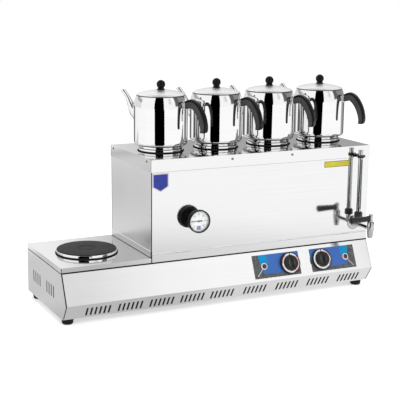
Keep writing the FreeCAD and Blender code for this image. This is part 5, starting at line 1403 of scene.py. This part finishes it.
@dataclass
class SightGlass:
    """Water level glass in its slotted guard, above the tap."""

    finishes: Finishes
    axis_x: float = TAP_X
    axis_y: float = GLASS_Y
    guard_inner: float = 6.3
    guard_outer: float = 7.3
    slot_low: float = 267.8
    slot_high: float = 428.0

    def build(self) -> None:
        """Build the guard and the water column, and dress the rest."""
        self.finishes.dress("phenolic", "sight_nut", "sight_bracket")
        self.finishes.dress("clear_glass", "sight_glass")
        self.guard()
        self.water()

    def guard(self) -> None:
        """Roll the guard tube: whole rings at both ends, a front slot between them and a cap."""
        place = upright(self.axis_x, self.axis_y, 0)
        piece = Piece("slotted_guard")
        inner, outer, low, high = self.guard_inner, self.guard_outer, self.slot_low, self.slot_high
        piece.turned([(inner, 248.8), (outer, 248.8), (outer, low), (inner, low)], place, 64)
        piece.swept_ring([(inner, low), (outer, low), (outer, high), (inner, high)], place, 57)
        top = rounded([(inner, high, 0), (outer, high, 0), (outer, 454.6, 0), (7.9, 455, 0.3), (7.9, 457.2, 0.6),
                       (6.8, 458, 0.4), (0, 458, 0), (0, 456, 0), (inner, 456, 0)], closed=False)
        piece.turned(top, place, 64)
        piece.finish(self.finishes["tap_plating"], Body.MACHINE, "bright_trim", ["sight_guard"])

    def water(self) -> None:
        """Fill the glass about halfway, with a dished surface."""
        outline = [(0, 249.5), (3.7, 249.5), (3.7, 352.6), (3.2, 351.7), (2, 351.2), (0, 351)]
        Piece("water_column").turned(outline, upright(self.axis_x, self.axis_y, 0), 32).finish(
            self.finishes["water"], Body.MACHINE, "clear_glass")


@dataclass
class Studio:
    """Pale floor, soft lights and the camera at the photograph's angle."""

    camera_place: Vector = field(default_factory=lambda: Vector((-1.4399, -2.8821, 0.9814)))
    camera_pitch: float = 78.154
    camera_yaw: float = -26.127
    camera_roll: float = 0.595
    focal: float = 94.31
    floor_size: float = 14.0
    floor_glow: float = 0.45
    world_fill: float = 0.75
    world_gain: float = 1.08
    floor_gain: float = 1.2
    pale: Color = (0.95, 0.95, 0.95)
    corner_grey: Color = (0.25, 0.25, 0.25)
    curtain_grey: Color = (0.12, 0.12, 0.12)
    flag_turn: tuple[float, float] = (-0.277, 0.42)
    flag_slope: tuple[float, float] = (-0.288, 0.462)

    def build(self) -> None:
        """Build the whole studio."""
        self.world()
        self.floor()
        self.lamps()
        self.camera()

    @property
    def toward(self) -> Vector:
        """Return the level direction from the urn to the camera."""
        return Vector((self.camera_place.x, self.camera_place.y, 0)).normalized()

    @property
    def sideways(self) -> Vector:
        """Return the level direction to the left of the camera's view."""
        return Vector((self.toward.y, -self.toward.x, 0))

    def world(self) -> None:
        """Make a white surround with darker places that only polished metal mirrors.

        The upright black flag, the corner and the curtain are left to clean mirrors and to late bounces.
        """
        sky = Shader("surround", surround=True)
        bpy.context.scene.world = sky.material
        ahead = sky.measure(self.toward, (0, 0, 0))
        aside = sky.measure(self.sideways, (0, 0, 0))
        rise = sky.measure((0, 0, 1), (0, 0, 0))
        turn = sky.math("DIVIDE", aside, sky.radius(ahead, aside))
        part = sky.share(turn)
        in_front = sky.math("GREATER_THAN", ahead, 0.0)
        path = sky.nodes.new("ShaderNodeLightPath")
        sharp = sky.clean_mirror(path)
        flag = sky.times(in_front, sky.between(turn, *self.flag_turn))
        flag = sky.times(sky.times(flag, sky.tones(rise, (0.70, 1.0), (0.82, 0.0))), sharp)
        ceiling = sky.tones(rise, (0.86, 1.0), (0.95, 0.25))
        slope_side = sky.mix(sky.tones(rise, (0.2, 0.0), (0.3, 1.0), (0.55, 1.0), (0.65, 0.0)), self.pale,
                             sky.tones(part, (0.065, 1.0), (0.1075, 0.93), (0.1275, 0.66), (0.15, 0.68),
                                       (0.225, 0.95)))
        back_low = sky.tones(part, (0.44, 0.36), (0.515, 0.38), (0.531, 0.60), (0.55, 0.74))
        back_high = sky.tones(part, (0.53, 0.44), (0.545, 0.56), (0.575, 0.90), (0.72, 0.90), (0.82, 0.38))
        back_top = sky.mix(sky.tones(rise, (0.30, 1.0), (0.40, 0.0)), self.pale, back_high)
        back_side = sky.mix(sky.tones(rise, (0.17, 1.0), (0.22, 0.0)), back_top, back_low)
        corner = sky.times(sky.tones(part, (0.12, 1.0), (0.25, 0.0)), sky.tones(rise, (0.6, 1.0), (0.75, 0.0)))
        back_side = sky.mix(sky.times(corner, sharp), back_side, self.corner_grey)
        curtain = sky.times(sky.tones(part, (0.028, 1.0), (0.046, 0.0)),
                            sky.tones(rise, (0.02, 0.0), (0.1, 1.0), (0.6, 1.0), (0.72, 0.0)))
        slope_side = sky.mix(sky.times(curtain, sharp), slope_side, self.curtain_grey)
        tone = sky.times(sky.mix(in_front, back_side, slope_side), ceiling)
        tone = sky.times(sky.times(tone, self.world_gain), sky.math("SUBTRACT", 1.0, flag))
        seen = sky.math("MAXIMUM", path.outputs["Is Camera Ray"], path.outputs["Is Transmission Ray"])
        plain = sky.math("MAXIMUM", seen, self.world_fill)
        other = sky.times(sky.math("SUBTRACT", 1.0, path.outputs["Is Glossy Ray"]), plain)
        glossy = sky.times(path.outputs["Is Glossy Ray"], tone)
        sky.surface.inputs["Color"].default_value = (1, 1, 1, 1)
        sky.feed("Strength", sky.math("ADD", glossy, other))

    def floor(self) -> None:
        """Lay the floor: white where the camera sees it; where the steel mirrors it, it glows in a toned pattern with
        painted shade near the urn.
        """
        data = bpy.data.meshes.new("floor")
        mesh = bmesh.new()
        bmesh.ops.create_grid(mesh, x_segments=1, y_segments=1, size=self.floor_size / 2)
        mesh.to_mesh(data)
        mesh.free()
        item = bpy.data.objects.new("floor", data)
        bpy.context.collection.objects.link(item)
        shader = Shader("floor_white").set(Roughness=0.9, Specular_IOR_Level=0.0, Base_Color=(0.82, 0.82, 0.82, 1))
        glow = shader.nodes.new("ShaderNodeEmission")
        shader.links.new(self.painted_mirror_shade(shader), glow.inputs["Strength"])
        white = shader.nodes.new("ShaderNodeEmission")
        white.inputs["Strength"].default_value = self.floor_glow
        lit = shader.nodes.new("ShaderNodeAddShader")
        shader.links.new(shader.surface.outputs[0], lit.inputs[0])
        shader.links.new(white.outputs[0], lit.inputs[1])
        choice = shader.nodes.new("ShaderNodeMixShader")
        path = shader.nodes.new("ShaderNodeLightPath")
        shader.links.new(path.outputs["Is Glossy Ray"], choice.inputs[0])
        shader.links.new(lit.outputs[0], choice.inputs[1])
        shader.links.new(glow.outputs[0], choice.inputs[2])
        shader.links.new(choice.outputs[0], shader.nodes["Material Output"].inputs["Surface"])
        data.materials.append(shader.material)

    def painted_mirror_shade(self, shader: Shader) -> Socket:
        """Return the floor's painted glow as polished metal mirrors it, painted shade included.

        Args:
            shader: The floor's material in the making.

        Returns:
            The tone: darker close to the urn, which paints its shade, and to its left, dark far behind it and along
                the flag.
        """
        # Painted shade: the near ramp darkens the glow close to the urn.
        front = shader.measure((0, -1, 0), (0, 0, 0), 3.0)
        across = shader.measure((1, 0, 0), (-1.6, 0, 0), 2.4)
        near = shader.tones(front, (0.04, 0.76), (0.14, 0.78), (0.25, 0.81), (0.40, 0.94), (0.7, 1.0))
        side = shader.tones(across, (0.33, 0.61), (0.417, 0.61), (0.586, 0.56), (0.667, 0.77), (0.72, 0.81),
                            (0.883, 0.88), (0.97, 0.94))
        behind = shader.measure((0, 1, 0), (0, 0, 0), 4.0)
        ahead = shader.measure(self.toward, (0, 0, 0))
        aside = shader.measure(self.sideways, (0, 0, 0))
        level = shader.radius(ahead, aside)
        depth = shader.tones(shader.times(level, 0.25), (0.2, 0.0), (0.42, 1.0))
        front_tone = shader.mix(depth, shader.times(near, side), (0.9, 0.9, 0.9))
        part = shader.share(shader.math("DIVIDE", aside, level))
        outline = shader.tones(part, (0.0, 0.8), (0.10, 0.5), (0.22, 0.25), (0.26, 0.13), (0.80, 0.13), (0.88, 1.0))
        sharp = shader.clean_mirror(shader.nodes.new("ShaderNodeLightPath"))
        far = shader.times(shader.tones(shader.times(level, 0.25), (0.25, 0.0), (0.38, 1.0)), sharp)
        plain = shader.tones(behind, (0.0, 0.66), (0.04, 0.58), (0.07, 0.53), (0.10, 0.59), (0.14, 0.52), (0.17, 0.55),
                             (0.20, 0.80), (0.22, 0.74), (0.24, 0.66), (0.28, 0.60), (0.32, 0.58), (0.36, 0.52),
                             (0.42, 0.40), (0.50, 0.51), (0.58, 0.58), (0.62, 0.57), (0.68, 0.45), (0.76, 0.85))
        wing = shader.tones(shader.measure((-1, -0.7, 0), (0, 0, 0)), (0.75, 0.0), (1.0, 1.0))
        plain = shader.mix(wing, plain, (0.88, 0.88, 0.88))
        back_tone = shader.times(plain, shader.mix(far, (1.0, 1.0, 1.0), outline))
        tone = shader.mix(shader.tones(behind, (0.0, 0.0), (0.04, 1.0)), front_tone, back_tone)
        slope = shader.math("DIVIDE", aside, ahead)
        strip = shader.times(shader.between(slope, *self.flag_slope), shader.math("GREATER_THAN", ahead, 0.78))
        wide = shader.times(shader.between(slope, 0.0, 0.86), shader.between(ahead, 0.78, 1.3))
        strip = shader.times(shader.math("MAXIMUM", strip, wide), sharp)
        return shader.times(shader.times(tone, self.floor_gain), shader.math("SUBTRACT", 1.0, strip))

    def lamps(self) -> None:
        """Hang three large soft lamps round the urn."""
        target = Vector((0, 0, 0.3))
        for name, place, size, power in (
                ("key", Vector((-1.6, -2.2, 2.6)), 2.2, 38.0), ("fill", Vector((2.4, -1.8, 1.6)), 2.0, 16.0),
                ("top", Vector((0.2, 0.6, 3.0)), 2.6, 30.0)):
            lamp = bpy.data.lights.new(name, "AREA")
            lamp.size = size
            lamp.energy = power
            item = bpy.data.objects.new(name, lamp)
            bpy.context.collection.objects.link(item)
            item.location = place
            item.rotation_euler = (target - place).to_track_quat("-Z", "Y").to_euler()
            item.visible_glossy = False

    def camera(self) -> None:
        """Place the camera where the photograph was taken from."""
        lens = bpy.data.cameras.new("camera")
        lens.sensor_width = 36
        lens.lens = self.focal
        lens.clip_end = 60
        item = bpy.data.objects.new("camera", lens)
        bpy.context.collection.objects.link(item)
        turn = (Matrix.Rotation(math.radians(self.camera_yaw), 4, "Z")
                @ Matrix.Rotation(math.radians(self.camera_pitch), 4, "X")
                @ Matrix.Rotation(math.radians(self.camera_roll), 4, "Z"))
        item.matrix_world = Matrix.Translation(self.camera_place) @ turn
        bpy.context.scene.camera = item
        bpy.context.scene.view_settings.view_transform = "Standard"


def main() -> None:
    """Build the dressed urn, its studio and its camera."""
    finishes = Finishes()
    Studio().build()
    for assembly in (Base(finishes), Boiler(finishes), Controls(finishes), Gauge(finishes), Tap(finishes),
                     SightGlass(finishes)):
        assembly.build()
    for number in range(1, POTS + 1):
        Teapot(number, finishes).build()


if __name__ == "__main__":
    main()
